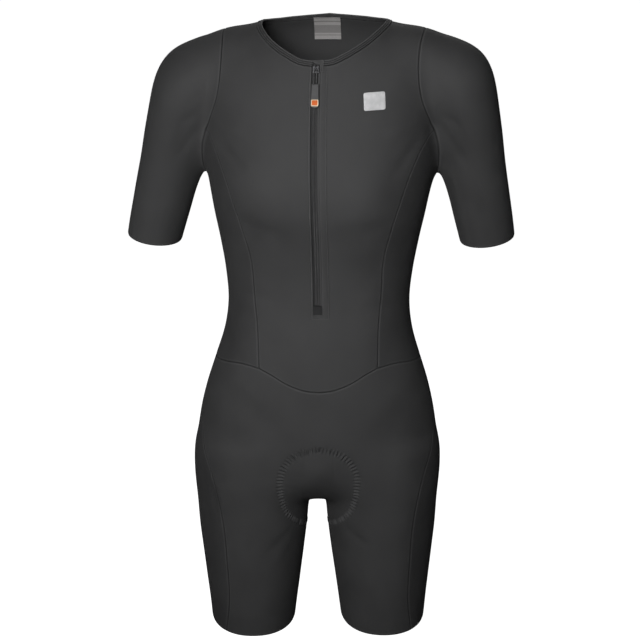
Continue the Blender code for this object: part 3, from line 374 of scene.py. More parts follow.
# Soft troughs and ridges of the cloth, each along a short line: side and height of one end, side and
# height of the other, half width, rise, and 1 where it lies on the back
CREASES = (
    (-0.104, -0.250, -0.048, -0.270, 0.0110, -0.0009, 0),
    (0.052, -0.268, 0.098, -0.256, 0.0110, -0.0007, 0),
    (-0.128, -0.152, -0.094, -0.188, 0.0070, -0.0006, 0),
    (-0.130, -0.136, -0.084, -0.150, 0.0065, 0.0005, 0),
    (0.130, -0.150, 0.102, -0.192, 0.0070, -0.0007, 0),
    (0.130, -0.134, 0.090, -0.144, 0.0060, 0.0005, 0),
    (-0.034, -0.325, -0.024, -0.430, 0.0180, 0.0006, 0),
    (0.042, -0.310, 0.034, -0.425, 0.0150, -0.0005, 0),
    (-0.100, -0.350, -0.058, -0.359, 0.0080, -0.0005, 0),
    (0.100, -0.367, 0.056, -0.374, 0.0080, -0.0005, 0),
    (0.104, -0.340, 0.068, -0.335, 0.0070, 0.0004, 0),
    (-0.122, -0.474, -0.066, -0.522, 0.0130, -0.0006, 0),
    (0.120, -0.468, 0.058, -0.526, 0.0150, 0.0005, 0),
    (-0.012, -0.498, -0.014, -0.546, 0.0170, -0.0006, 0),
    (-0.139, -0.612, -0.133, -0.644, 0.0035, -0.0009, 0),
    (-0.131, -0.610, -0.125, -0.640, 0.0040, 0.0004, 0),
    (0.068, -0.702, 0.078, -0.780, 0.0130, 0.0004, 0),
    (-0.086, -0.690, -0.096, -0.772, 0.0130, 0.0005, 0),
    (0.036, -0.668, 0.064, -0.692, 0.0060, -0.0006, 0),
    (-0.036, -0.670, -0.066, -0.702, 0.0060, -0.0007, 0),
    (-0.040, -0.692, -0.062, -0.722, 0.0060, 0.0004, 0),
    (0.164, -0.148, 0.192, -0.190, 0.0065, -0.0009, 0),
    (0.160, -0.124, 0.184, -0.138, 0.0060, -0.0007, 0),
    (0.178, -0.118, 0.206, -0.166, 0.0080, 0.0006, 0),
    (0.202, -0.214, 0.228, -0.262, 0.0080, 0.0004, 0),
    (-0.162, -0.146, -0.188, -0.184, 0.0065, -0.0008, 0),
    (-0.158, -0.122, -0.180, -0.134, 0.0060, -0.0007, 0),
    (-0.176, -0.122, -0.202, -0.172, 0.0080, 0.0006, 0),
    (-0.196, -0.220, -0.224, -0.254, 0.0080, -0.0004, 0),
    (-0.120, -0.150, -0.074, -0.178, 0.0080, -0.0008, 1),
    (0.118, -0.146, 0.078, -0.182, 0.0080, -0.0007, 1),
    (-0.116, -0.132, -0.070, -0.150, 0.0070, 0.0005, 1),
    (0.002, -0.036, -0.002, -0.120, 0.0200, -0.0006, 1),
    (-0.072, -0.360, 0.066, -0.366, 0.0100, -0.0009, 1),
    (-0.060, -0.343, 0.016, -0.338, 0.0070, 0.0006, 1),
    (-0.008, -0.387, 0.074, -0.380, 0.0080, 0.0006, 1),
    (0.030, -0.408, 0.084, -0.399, 0.0090, -0.0005, 1),
    (-0.122, -0.668, -0.052, -0.686, 0.0085, -0.0009, 1),
    (0.122, -0.666, 0.054, -0.684, 0.0085, -0.0009, 1),
    (-0.108, -0.690, -0.060, -0.704, 0.0080, 0.0005, 1),
    (0.104, -0.692, 0.066, -0.706, 0.0080, 0.0005, 1),
    (-0.070, -0.742, -0.084, -0.796, 0.0100, -0.0004, 1),
    (0.164, -0.146, 0.202, -0.172, 0.0070, -0.0008, 1),
    (-0.166, -0.150, -0.198, -0.180, 0.0070, -0.0008, 1),
    (-0.147, -0.126, -0.153, -0.160, 0.0120, -0.0024, 0),
    (0.148, -0.126, 0.154, -0.160, 0.0120, -0.0024, 0),
    (-0.020, -0.588, 0.020, -0.588, 0.0190, 0.0016, 0),
    (-0.022, -0.622, 0.022, -0.622, 0.0170, -0.0020, 0),
    (0.196, -0.214, 0.224, -0.232, 0.0070, -0.0005, 1),
    (-0.194, -0.212, -0.226, -0.236, 0.0075, -0.0005, 1),
)

# Neck binding: three ribs between two sewn grooves
BINDING_WIDTH, BINDING_LOW, BINDING_RIB = 0.0074, 0.0002, 0.0008
BINDING_PITCH, BINDING_FULLNESS = 0.0025, 0.8         # a rib's width, and less than 1 is fuller
BINDING_LINES, BINDING_BLEND = 25, 8      # lines across it, and steps that turn it upright at the zip

# Zip: chain of moulded teeth on two tapes
ZIP_TOP = -0.0520          # height of the tapes' upper ends
TAPE = (                   # the tape's section, as side and height over the cloth
    (0.00015, -WALL),
    (0.00015, 0.0001),
    (0.00350, 0.0001),
    (0.00372, 0.0003),
    (0.00400, 0.0004),
    (0.00428, 0.0003),
    (SLIT - SEAM / 2, 0.0000),
    (SLIT - SEAM / 2, -WALL),
)
TOOTH_SIDES = (0.00045, 0.00270)          # inner and outer end of a tooth
PLACKET = (                # the folded edge over the zip's left tape: side and height
    (0.00290, 0.0001),
    (0.00290, 0.0005),
    (0.00310, 0.0008),
    (0.00440, 0.0008),
    (0.00540, 0.0004),
    (SLIT + 0.0013, 0.0000),
    (SLIT + 0.0013, -0.0003),
)
TOOTH_FALL = 0.0004        # a tooth's outer end lies this much lower
TOOTH_SEAT = 0.0002        # height of a tooth's middle over the form
TEETH_TOP, TEETH_FOOT = ZIP_TOP - 0.0040, ZIP_FOOT + 0.0008      # heights of the row's ends
STITCH_RIGHT, STITCH_LEFT = -0.0072, 0.0140    # sides of the two rows of stitches beside the zip
STITCH_TOP, STITCH_FOOT = ZIP_TOP - 0.0120, -0.3830   # heights of their tops and of the foot's row
SHADOW_ROW_OUT, SHADOW_ROW_UP = 0.0010, 0.0013          # how far the near-black row that paints the shadow beside the stitches lies from them
THREAD_SEAT = 0.9          # height of a thread's middle over the cloth, in its own radii
THREAD_END = 0.55          # share of a thread's radius at its two ends
WELT_FADE = (0.003, 0.004)                # the welt starts so far above the foot's row, over so long
STITCH_REACH = 0.0009      # half width of the trough under a row of stitches
WELT_DEPTH = -0.03         # the cloth beside the zip lies in front of this depth
STOP_SIZE, STOP_TOP, STOP_THICK, STOP_CORNER = 0.0120, -0.3650, 0.0011, 0.0008
GUARD = (                  # flap at the top of the zip: side, height of its lower edge
    (-0.0055, -0.0525),
    (-0.0020, -0.0545),
    (0.0020, -0.0560),
    (0.0046, -0.0565),
    (0.0051, -0.0650),
    (0.0100, -0.0660),
)
GUARD_TOP = -0.0512        # height of its upper edge
GUARD_LIFT, GUARD_THICK, GUARD_FOLD = 0.0015, 0.0010, 0.0003
GUARD_WAVE = 0.0016        # side in which its folds' sine turns by one radian
GUARD_EDGE, GUARD_ROLL = 0.0020, 0.0005   # how far its folds stay off its border, how far that rolls in

# Pull: a cord's loop and a moulded grip that hang from the hinge
SLIDER_LEVEL = -0.0625     # the pull takes the stance of this height
PULL_TILT = 14.5           # degrees that the pull hangs off the zip
CORD_RADIUS, CORD_HALF, CORD_DROP = 0.00075, 0.0017, 0.0190
CORD_STEPS, BEND_STEPS, CORD_SIDES = 29, 24, 16       # of each straight, of a half turn, round the cord
PLAIT_STRANDS = 4          # strands of the plait, as swells round the cord
PLAIT_MIDDLE, PLAIT_SWELL = 0.96, 0.07    # the plait's mean radius and its swell, as shares
PLAIT_RUN = 0.00033        # way along the cord in which the plait turns by one radian
GRIP_LENGTH, GRIP_TOP_HALF, GRIP_FOOT_HALF, GRIP_THICK = 0.0315, 0.0046, 0.0052, 0.0032
GRIP_CORNER, GRIP_EDGE = 0.0010, 0.0009   # radius of its upper corners, and of its edges all round
BADGE_DROP, BADGE_WIDE, BADGE_HIGH = 0.0243, 0.0094, 0.0086
BADGE_BORDER, BADGE_CORNER, BADGE_THICK, BADGE_EDGE = 0.0011, 0.0016, 0.0006, 0.00015
RIM_LIFT, BADGE_LIFT = 0.0002, 0.0004     # how far their middles lie in front of the grip's face

# Label inside the neck, and the film patch on the chest: middle, half sizes, turn in degrees
LABEL_SIDE, LABEL_HALF, LABEL_THICK = -0.0035, 0.0178, 0.0006
LABEL_TOP, LABEL_FOOT = -0.0045, -0.0350
PATCH_SIDE, PATCH_HEIGHT, PATCH_HALF = 0.0748, -0.1015, (0.0134, 0.0112)
PATCH_TURN, PATCH_ROUND, PATCH_THICK, PATCH_SEAT = 3.0, 0.0022, 0.0004, 0.0001

SLAB_MIDDLE = 0.35         # a flat piece's inmost ring is drawn in by this share of its reach
FILM_RINGS = (             # rings of a thin flat piece: share of its outline, share of its thickness
    (0.25, 1.00),
    (0.50, 1.00),
    (0.75, 1.00),
    (0.90, 1.00),
    (0.965, 1.00),
    (0.99, 0.75),
    (1.00, 0.30),
)

# Seat pad's ring: half width, the puckers of one quarter and the mesh's steps in each pucker
RING_HALF = 0.0045
RING_REACH = 2.4 * RING_HALF              # no pucker reaches further than this
QUARTER_PUCKERS, PUCKER_STEPS = 45, 4
PUCKER_REACH, TROUGH_REACH = 0.95, 1.1    # half widths of a pucker and of the trough, in the ring's
LENS_UPPER = 0.4           # share of a half ring that is the upper side of the grid within it

# Camera: the point that it faces, and the width of its sensor in millimetres
CAMERA_TARGET = (0.0, 0.0, -0.402)
SENSOR = 36.0

# Lights: place, size, aim, spread in degrees; and those that share the fill's power
KEY_PLACE, KEY_SIZE, KEY_AIM, KEY_SPREAD = (-0.38, -1.8, 0.28), 0.7, (0.0, 0.0, -0.22), 80
FILLS = (                  # name, place, size, power as a share of the fill's
    ("fill_left", (-2.4, -1.6, 0.4), 1.2, 1),
    ("fill_right", (2.4, -1.6, 0.4), 1.2, 1),
    ("back", (0.4, 2.8, 1.6), 1.8, 4),
)
FLOOR_HALF = 40.0          # half width of the floor

# Looks of the cloth, by the distance from its border: where the painted shadow in a seam starts to fade
# and ends, and where the painted highlight line beside it starts, is palest and ends
SEAM_SHADOW = (0.0003, 0.0011)
HIGHLIGHT_LINE = (0.0010, 0.0018, 0.0034)
HIGHLIGHT_GAIN = 0.34                # how much paler the painted highlight line beside a seam is
LOOP_SHADE, FIBRE_SHADE, GRAIN_BASE = 0.34, 0.16, 0.83       # shares of the colour
FAR = 0.01                 # distance from a border that no longer changes the knit's look
BAND_EDGE = 0.0002         # how softly a woven band starts
LABEL_BANDS = (            # the label's woven bands: start and end down it, shade
    (0.0000, 0.0012, 0.80),
    (0.0045, 0.0062, 0.55),
    (0.0105, 0.0215, 0.62),
    (0.0240, 0.0250, 0.50),
)


# ---------------------------------------------------------------- form

def columns_at(table, at):
    """Values of a table's other columns where its first column is `at`, as smooth curves."""
    rows = np.asarray(table, float)
    places, values = rows[:, 0], rows[:, 1:]
    slopes = np.gradient(values, places, axis=0)
    low = np.clip(np.searchsorted(places, at) - 1, 0, len(places) - 2)
    gap = places[low + 1] - places[low]
    share = np.clip((at - places[low]) / gap, 0, 1)
    gap, share = gap[..., None], share[..., None]
    return ((2 * share**3 - 3 * share**2 + 1) * values[low]
            + (share**3 - 2 * share**2 + share) * gap * slopes[low]
            + (3 * share**2 - 2 * share**3) * values[low + 1]
            + (share**3 - share**2) * gap * slopes[low + 1])


def smooth_min(a, b, radius):
    """The smaller of two distances, rounded where they cross."""
    near = np.maximum(radius - np.abs(a - b), 0) / radius
    return np.minimum(a, b) - near**3 * radius / 6


def smooth_max(a, b, radius):
    """The larger of two distances, rounded where they cross."""
    return -smooth_min(-a, -b, radius)


def tube(x, y, half_width, front, back, squareness):
    """Distance from an upright tube whose section is a rounded oval, deeper on one side."""
    depth = np.where(y < 0, front, back)
    u = np.maximum(np.abs(x) / half_width, 1e-6)
    v = np.maximum(np.abs(y) / depth, 1e-6)
    size = (u**squareness + v**squareness) ** (1 / squareness)
    slope = size ** (1 - squareness) * np.hypot(u ** (squareness - 1) / half_width,
                                                v ** (squareness - 1) / depth)
    return (size - 1) / slope


def over_shoulders(x, y, z):
    """Distance above the rounded line of the shoulders."""
    height = columns_at(SHOULDERS, np.abs(x))[..., 0]
    return (z - height + (y - SHOULDER_DEPTH)**2 / (2 * SHOULDER_RADIUS)) * SHOULDER_SLOPE


def body_form(x, y, z):
    """Distance from the body: its tube, the rise of the darts, the shoulders and the crotch."""
    row = columns_at(BODY, z)
    distance = tube(x, y, row[..., 0], row[..., 1], row[..., 2], BODY_SQUARENESS)
    sides = (np.exp(-((x - DART_SIDE) / DART_ACROSS)**2)
             + np.exp(-((x + DART_SIDE) / DART_ACROSS)**2))
    fade = np.clip(-y / DART_FADE, 0, 1)
    rise = DART_RISE * sides * np.exp(-((z - DART_LEVEL) / DART_TALL)**2)
    distance = distance - rise * fade**2 * (3 - 2 * fade)
    distance = smooth_max(distance, over_shoulders(x, y, z), SHOULDER_ROUND)
    return smooth_max(distance, CROTCH - z, CROTCH_ROUND)


def leg_form(x, y, z):
    """Distance from the leg on the +X side."""
    row = columns_at(LEG, z)
    distance = tube(x - row[..., 0], y, row[..., 1], row[..., 2], row[..., 3], LEG_SQUARENESS)
    return smooth_max(distance, z - LEG_TOP, LEG_TOP_ROUND)


def arm_form(x, y, z):
    """Distance from the arm on the +X side."""
    row = columns_at(ARM, z)
    distance = tube(x - row[..., 0], y - row[..., 1], row[..., 2], row[..., 3], row[..., 3],
                    ARM_SQUARENESS)
    return smooth_max(distance, over_shoulders(x, y, z), ARM_ROUND)


def form(points):
    """Distance of points from the whole form, negative inside it."""
    x, y, z = points[..., 0], points[..., 1], points[..., 2]
    legs = smooth_min(leg_form(x, y, z), leg_form(-x, y, z), LEGS_BLEND)
    distance = smooth_min(body_form(x, y, z), legs, LEG_BLEND)
    return smooth_min(distance, arm_form(np.abs(x), y, z), ARM_BLEND)


def slope_of(points):
    """Steepest rise of the form's distance at each point."""
    steps = np.eye(3) * STEP
    return np.stack([(form(points + step) - form(points - step)) / (2 * STEP) for step in steps], -1)


def unit(vectors):
    """The vectors' directions, each of length one."""
    return vectors / np.linalg.norm(vectors, axis=-1, keepdims=True)


def normals_at(points):
    """Directions straight out of the form."""
    return unit(slope_of(points))


def onto_form(points, rounds=8):
    """Points moved along the form's slope until they lie on it."""
    points = np.array(points, float)
    for _ in range(rounds):
        slope = slope_of(points)
        length = np.sum(slope**2, -1, keepdims=True)
        move = form(points)[..., None] * slope / length
        far = np.maximum(np.linalg.norm(move, axis=-1, keepdims=True) / MOST_MOVE, 1)
        points -= move / far
    return points


def front_at(x, z, back=False):
    """Points of the form's front, or its back, at a side and a height."""
    x, z = np.broadcast_arrays(np.asarray(x, float), np.asarray(z, float))
    sign = 1.0 if back else -1.0
    inside, outside = np.zeros_like(x), np.full_like(x, OUTSIDE)
    for _ in range(40):
        middle = (inside + outside) / 2
        within = form(np.stack((x, sign * middle, z), -1)) < 0
        inside = np.where(within, middle, inside)
        outside = np.where(within, outside, middle)
    return np.stack((x, sign * inside, z), -1)


def posed(points):
    """Points carried from the upright form into the stance: turned, leaned and tilted by height."""
    x, y, z = points[..., 0], points[..., 1], points[..., 2]
    row = columns_at(STANCE, z)
    turn, lean, tilt = np.radians(row[..., 0]), row[..., 1], row[..., 2]
    return np.stack((x * np.cos(turn) - y * np.sin(turn) + lean,
                     x * np.sin(turn) + y * np.cos(turn),
                     z + tilt * x), -1)


def stance_matrix(z):
    """The stance at one height, for a hard piece that keeps its shape."""
    turn, lean, tilt = columns_at(STANCE, np.array([z]))[0]
    spin = Matrix.Rotation(radians(turn), 4, "Z") @ Matrix.Rotation(-tilt, 4, "Y")
    return Matrix.Translation((lean, 0, z)) @ spin @ Matrix.Translation((0, 0, -z))


# ---------------------------------------------------------------- lines on the form

def walked(points):
    """Distance walked along a line of points, from its start: the running sum of its steps."""
    steps = np.linalg.norm(np.diff(points, axis=0), axis=-1)
    return np.concatenate(([0], np.cumsum(steps)))


def dense(guide):
    """A line of many points on the form, along the smooth curve through the guide's points."""
    guide = np.array(guide, float)
    run = walked(guide)
    return onto_form(columns_at(np.column_stack((run, guide)), np.linspace(0, run[-1], LINE_POINTS)))


@lru_cache(maxsize=None)
def seam(guide):
    """The dense line of a named seam, worked out once."""
    return dense(guide)


def line_between(start, guide, end):
    """A dense line from one known point to another, past the guide's points."""
    return dense(np.vstack((start, guide, end)) if len(guide) else np.vstack((start, end)))


def joined(*lines):
    """One line from several that meet end to end."""
    return np.vstack([lines[0]] + [line[1:] for line in lines[1:]])


def along(line, marks):
    """Points of a line at these shares of its length, found between its own points."""
    way = walked(line)
    return np.column_stack([np.interp(np.asarray(marks) * way[-1], way, line[:, k])
                            for k in range(3)])


def stepped(*stretches):
    """Shares of a line: even steps in each stretch, given as (end's share, steps)."""
    marks, start = [np.zeros(1)], 0.0
    for end, steps in stretches:
        marks.append(np.linspace(start, end, steps + 1)[1:])
        start = end
    return np.concatenate(marks)


def bordered(line, start=True, end=True):
    """The line with four more points beside a seam at its ends, at the distances in EDGE or, where
    the line's own step is short, within that step."""
    way = walked(line)
    first, last = (min(1, 0.8 * step / EDGE[-1]) for step in (way[1], way[-1] - way[-2]))
    near = first * EDGE / way[-1] if start else []
    far = 1 - last * EDGE[::-1] / way[-1] if end else []
    return along(line, np.concatenate(([0], near, way[1:-1] / way[-1], far, [1])))


def patch(upper, lower, left, right):
    """A grid between four lines: the sum of the two ways across, less the corners' own share, each
    weighed by the distance walked along the lines, and then laid on the form."""
    v = (walked(left) / walked(left)[-1] + walked(right) / walked(right)[-1])[:, None, None] / 2
    u = (walked(upper) / walked(upper)[-1] + walked(lower) / walked(lower)[-1])[None, :, None] / 2
    across = (1 - v) * upper[None] + v * lower[None]
    along_it = (1 - u) * left[:, None] + u * right[:, None]
    corners = ((1 - u) * (1 - v) * upper[0] + u * (1 - v) * upper[-1]
               + (1 - u) * v * lower[0] + u * v * lower[-1])
    grid = onto_form(across + along_it - corners)
    grid[0], grid[-1], grid[:, 0], grid[:, -1] = upper, lower, left, right
    return grid


def evened(grid, rounds):
    """The grid with its inner points moved to the middle of their four neighbours, and laid back on
    the form, so many times."""
    for _ in range(rounds):
        beside = grid[1:-1, :-2] + grid[1:-1, 2:] + grid[:-2, 1:-1] + grid[2:, 1:-1]
        grid[1:-1, 1:-1] = onto_form(beside / 4, rounds=2)
    grid[1:-1, 1:-1] = onto_form(grid[1:-1, 1:-1])
    return grid


def refined(grid, rows, columns):
    """A finer grid on the form, read from smooth curves through the coarse one both ways."""
    high, wide = grid.shape[:2]
    down = columns_at(np.column_stack((np.arange(high), grid.reshape(high, -1))),
                      np.linspace(0, high - 1, rows)).reshape(rows, wide, 3).transpose(1, 0, 2)
    across = columns_at(np.column_stack((np.arange(wide), down.reshape(wide, -1))),
                        np.linspace(0, wide - 1, columns)).reshape(columns, rows, 3)
    return onto_form(across.transpose(1, 0, 2))


def on_plane(points, middle, faces):
    """Points laid both on the form and on the plane through `middle` that faces `faces`."""
    middle, faces = np.array(middle), unit(faces)
    for _ in range(12):
        points = onto_form(points, rounds=3)
        points = points - np.sum((points - middle) * faces, -1, keepdims=True) * faces
    return points


def level_ring(halves, degrees):
    """Points of a level ellipse round the origin: its half sizes times the angle's cosine and sine."""
    angle = np.radians(degrees)
    return np.column_stack((halves[0] * np.cos(angle), halves[1] * np.sin(angle), 0 * angle))


def cuff_line(degrees):
    """Points of the cuff at angles from its outer side towards the front."""
    return on_plane(np.array(CUFF) + level_ring(CUFF_START, degrees), CUFF, CUFF_FACES)


def hem_line(degrees):
    """Points of the leg's hem at angles from its outer side towards the front."""
    middle = np.array((columns_at(LEG, np.array([HEM]))[0, 0], 0.0, HEM))
    return on_plane(middle + level_ring(HEM_START, degrees), middle, (0, HEM_DIP, -1))


# ---------------------------------------------------------------- sheets and walls

class Sheet:
    """Points on the form, squares between them that face out, and where the knit runs: the distance
    across and down the cloth at each point."""

    def __init__(self, points, faces, knit):
        """Keep the three arrays."""
        self.points, self.faces, self.knit = points, faces, knit


def grid_faces(rows, columns):
    """Squares of a grid whose points are numbered row by row."""
    corner = (np.arange(rows - 1)[:, None] * columns + np.arange(columns - 1)).ravel()
    return np.column_stack((corner, corner + columns, corner + columns + 1, corner + 1))


def facing_out(points, faces):
    """Squares of like winding, all turned over if they face into the form."""
    a, b, c = (points[faces[:, k]] for k in range(3))
    facing = np.sum(np.cross(b - a, c - a) * normals_at((a + b + c) / 3))
    return faces[:, ::-1] if facing < 0 else faces


def grid_sheet(grid, start=0.0, level=True):
    """A sheet from a grid. The knit's courses run level, or else square to the grid's own columns;
    its wales are counted across each row from `start`, one number or one for each row."""
    rows, columns = grid.shape[:2]
    points = grid.reshape(-1, 3)
    steps = np.linalg.norm(np.diff(grid, axis=1), axis=-1)
    across = np.reshape(start, (-1, 1)) + np.hstack((np.zeros((rows, 1)), np.cumsum(steps, axis=1)))
    fall = np.linalg.norm(np.diff(grid, axis=0), axis=-1)
    down = -grid[..., 2] if level else np.vstack((np.zeros((1, columns)), np.cumsum(fall, axis=0)))
    knit = np.stack((across, down), -1).reshape(-1, 2)
    return Sheet(points, facing_out(points, grid_faces(rows, columns)), knit)


def last_wales(sheet, grid):
    """The count of wales at the last column of a grid's sheet, for the next sheet to start from."""
    return sheet.knit[:, 0].reshape(grid.shape[:2])[:, -1]


def plain_sheet(grid):
    """A sheet from a grid whose knit runs level and square to the suit's middle plane."""
    sheet = grid_sheet(grid)
    return Sheet(sheet.points, sheet.faces, sheet.points[:, ::2] * (1, -1))


def mirrored(sheet):
    """The same sheet on the other side of the suit."""
    return Sheet(sheet.points * (-1, 1, 1), sheet.faces[:, ::-1], sheet.knit * (-1, 1))


def whole(sheets):
    """A piece's sheets together with their mirror images."""
    return sheets + [mirrored(sheet) for sheet in sheets]


def merged(sheets):
    """One sheet from several, with the points that they share made one."""
    starts = np.cumsum([0] + [len(sheet.points) for sheet in sheets])
    points = np.vstack([sheet.points for sheet in sheets])
    _, first, number = np.unique(np.round(points, 6) + 0.0, axis=0, return_index=True,
                                 return_inverse=True)
    number = number.ravel()
    faces = np.vstack([number[sheet.faces + start] for sheet, start in zip(sheets, starts)])
    return Sheet(points[first], faces, np.vstack([sheet.knit for sheet in sheets])[first])


def border_of(faces, count):
    """Edges that belong to one face only, in that face's direction."""
    edges = np.vstack([faces[:, [k, (k + 1) % faces.shape[1]]] for k in range(faces.shape[1])])
    ahead, back = edges[:, 0] * count + edges[:, 1], edges[:, 1] * count + edges[:, 0]
    return edges[~np.isin(ahead, back)]


def drawn_in(points, normals, border):
    """Points with those of the border moved half the gap between sewn pieces into the piece."""
    run = unit(points[border[:, 1]] - points[border[:, 0]])
    inward = unit(np.cross((normals[border[:, 0]] + normals[border[:, 1]]) / 2, run))
    total = np.zeros_like(points)
    for end in (0, 1):
        np.add.at(total, border[:, end], inward)
    square = np.maximum(np.sum(total**2, -1, keepdims=True), 0.5)
    return points + total * GAP / square


def away_from(points, line):
    """Distance of each point from the nearest point of a line."""
    near = [np.min(np.sum((points[k:k + 1024, None] - line[None])**2, -1), axis=1)
            for k in range(0, len(points), 1024)]
    return np.sqrt(np.concatenate(near))


def wall_arrays(sheet, relief=0.0, dip=0.0, top=0.0, thickness=WALL):
    """Points and faces of a closed wall: the sheet raised along the form's normals by its relief
    less its dip, and a copy lower by the thickness that has the relief but not the dip."""
    normals = normals_at(sheet.points)
    border = border_of(sheet.faces, len(sheet.points))
    base = drawn_in(sheet.points, normals, border)
    count = len(base)
    upper = posed(base + normals * np.broadcast_to(top + relief - dip, count)[:, None])
    lower = posed(base + normals * np.broadcast_to(top + relief - thickness, count)[:, None])
    a, b = border[:, 0], border[:, 1]
    rim = np.column_stack((b, a, a + count, b + count))
    return np.vstack((upper, lower)), np.vstack((sheet.faces, sheet.faces[:, ::-1] + count, rim))


def faint_waves(points):
    """Unevenness of the cloth, between -1.7 and 1.7: a sine across times a sine down, each bent by a
    slow sine of the other way, and 0.7 of the product of two slanting sines."""
    x, y, z = points.T
    upright = np.sin(x / 0.0110 + 1.7 * np.sin(z / 0.043)) * np.sin(z / 0.0170 + 2.1 * np.sin(x / 0.031))
    slanting = np.sin((x + 0.6 * z) / 0.0230 + 1.0) * np.sin((y - 0.4 * z) / 0.0190)
    return upright + 0.7 * slanting


def creased(points):
    """Height of the cloth's soft troughs and ridges: each is its rise times a bell curve of the
    distance from a short line on the form, 0.4 as high at that line's ends as in its middle. Faint
    waves are added over the whole cloth."""
    settings = chosen("cloth")
    total = np.zeros(len(points))
    for side_1, height_1, side_2, height_2, half, rise, back in CREASES:
        ends = front_at(np.array((side_1, side_2)), np.array((height_1, height_2)), back=bool(back))
        run = ends[1] - ends[0]
        share = np.clip((points - ends[0]) @ run / (run @ run), 0, 1)
        off = np.linalg.norm(points - ends[0] - share[:, None] * run, axis=1)
        total += rise * np.exp(-(off / half)**2) * (1 - 0.6 * (2 * share - 1)**2)
    return total * settings.crease_strength + faint_waves(points) * settings.unevenness


# ---------------------------------------------------------------- objects

def new_object(name, points, faces, surface, caps=(), values=None, sharp=50):
    """A mesh object at the origin from an array of points, an array of faces and a few larger
    faces. Values are named numbers or vectors for the points, which its material reads."""
    mesh = bpy.data.meshes.new(name)
    mesh.from_pydata(points.tolist(), [], faces.tolist() + [list(cap) for cap in caps])
    for key, array in (values or {}).items():
        array = np.asarray(array, np.float32)
        kind, field = ("FLOAT", "value") if array.ndim == 1 else ("FLOAT_VECTOR", "vector")
        mesh.attributes.new(key, kind, "POINT").data.foreach_set(field, array.ravel())
    mesh.materials.append(surface)
    mesh.shade_smooth()
    mesh.set_sharp_from_angle(angle=radians(sharp))
    made = bpy.data.objects.new(name, mesh)
    bpy.context.scene.collection.objects.link(made)
    return made


def right_side_out(item):
    """Recalculate the normals of a closed solid piece so that they point outwards."""
    shape = bmesh.new()
    shape.from_mesh(item.data)
    bmesh.ops.recalc_face_normals(shape, faces=shape.faces)
    shape.to_mesh(item.data)
    shape.free()
    return item


def seat(item, body, slot, *nodes):
    """Let a piece move with a body and stand for these nodes. The slot is not used."""
    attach(item, body)
    if nodes:
        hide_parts(*nodes)
    return item


def from_border(sheet):
    """Distance of each point of a sheet from the sheet's border."""
    return away_from(sheet.points, sheet.points[border_of(sheet.faces, len(sheet.points))[:, 0]])


def wall_piece(node, sheet, knit, surface, slot, relief, dip, **place):
    """A sheet as a closed wall in the body `suit` that stands for one node. Both sides of the wall
    have the same knit: the distances across and down the cloth and from its border."""
    points, faces = wall_arrays(sheet, relief, dip, **place)
    made = new_object("suit_" + node, points, faces, surface, values={"knit": np.vstack((knit, knit))})
    return seat(made, "suit", slot, node)


def cloth_piece(node, sheets, surface, slot, rise_of=None):
    """A cut piece of cloth as a closed wall with creases in both sides and a dip by its seams: the
    dip is its depth times a bell curve of the distance from the border. `rise_of` gives what stands
    up in the outer side alone."""
    settings = chosen("cloth")
    sheet = merged(sheets)
    off = from_border(sheet)
    dip = settings.seam_dip * np.exp(-(off / settings.seam_reach)**2)
    if rise_of:
        dip = dip - rise_of(sheet.points)
    made = wall_piece(node, sheet, np.column_stack((sheet.knit, off)), surface, slot,
                      creased(sheet.points), dip)


def both_sides(node, sheets, surface, slot):
    """A piece for each side of the suit: the wearer's left is at +X."""
    cloth_piece(node + "_left", sheets, surface, slot)
    cloth_piece(node + "_right", [mirrored(sheet) for sheet in sheets], surface, slot)


def thread_arrays(starts, ends, lift, radius, sides=4, rings=5, arch=1.0):
    """Points and faces of many short threads laid on the form. Each runs straight from its start to
    its end, rises in an arch of `arch` radii over `lift`, and is round, thinner at its two ends."""
    share = np.linspace(0, 1, rings)
    base = onto_form(starts[:, None] * (1 - share[:, None]) + ends[:, None] * share[:, None], rounds=3)
    normal = normals_at(base)
    run = np.repeat((ends - starts)[:, None], rings, axis=1)
    side = unit(np.cross(normal, run))
    height = np.broadcast_to(lift, base.shape[:2])[..., None]
    height = height + arch * radius * np.sin(pi * share)[None, :, None]
    thin = radius * np.where((share == 0) | (share == 1), THREAD_END, 1.0)[None, :, None, None]
    turn = 2 * pi * (np.arange(sides) + 0.5) / sides
    around = (np.cos(turn)[:, None] * side[:, :, None] + np.sin(turn)[:, None] * normal[:, :, None])
    points = posed((base + normal * height)[:, :, None] + around * thin)
    ring, turn = np.meshgrid(np.arange(rings - 1), np.arange(sides), indexing="ij")
    a, b = ring * sides + turn, ring * sides + (turn + 1) % sides
    one = np.stack((a, b, b + sides, a + sides), -1).reshape(-1, 4)
    fan = np.array([(0, k, k + 1, k + 2) for k in range(1, sides - 1, 2)])
    one = np.vstack((one, fan[:, ::-1], fan + (rings - 1) * sides))
    shift = np.arange(len(starts))[:, None, None] * rings * sides
    return points.reshape(-1, 3), (one[None] + shift).reshape(-1, 4)


def run_of_stitches(line, pitch, length):
    """Starts and ends of the stitches along a line, one each `pitch`, each `length` long."""
    total = walked(line)[-1]
    middle = (np.arange(int(total / pitch)) + 0.5) * pitch
    return along(line, (middle - length / 2) / total), along(line, (middle + length / 2) / total)


def thread_piece(name, runs, surface, radius, lift, slot="cloth", **form_of):
    """One mesh of all the threads in several runs of starts and ends, at a height over the form."""
    starts, ends = (np.vstack([run[k] for run in runs]) for k in (0, 1))
    points, faces = thread_arrays(starts, ends, lift, radius, **form_of)
    return seat(right_side_out(new_object(name, points, faces, surface)), "suit", slot)


# ---------------------------------------------------------------- small pieces

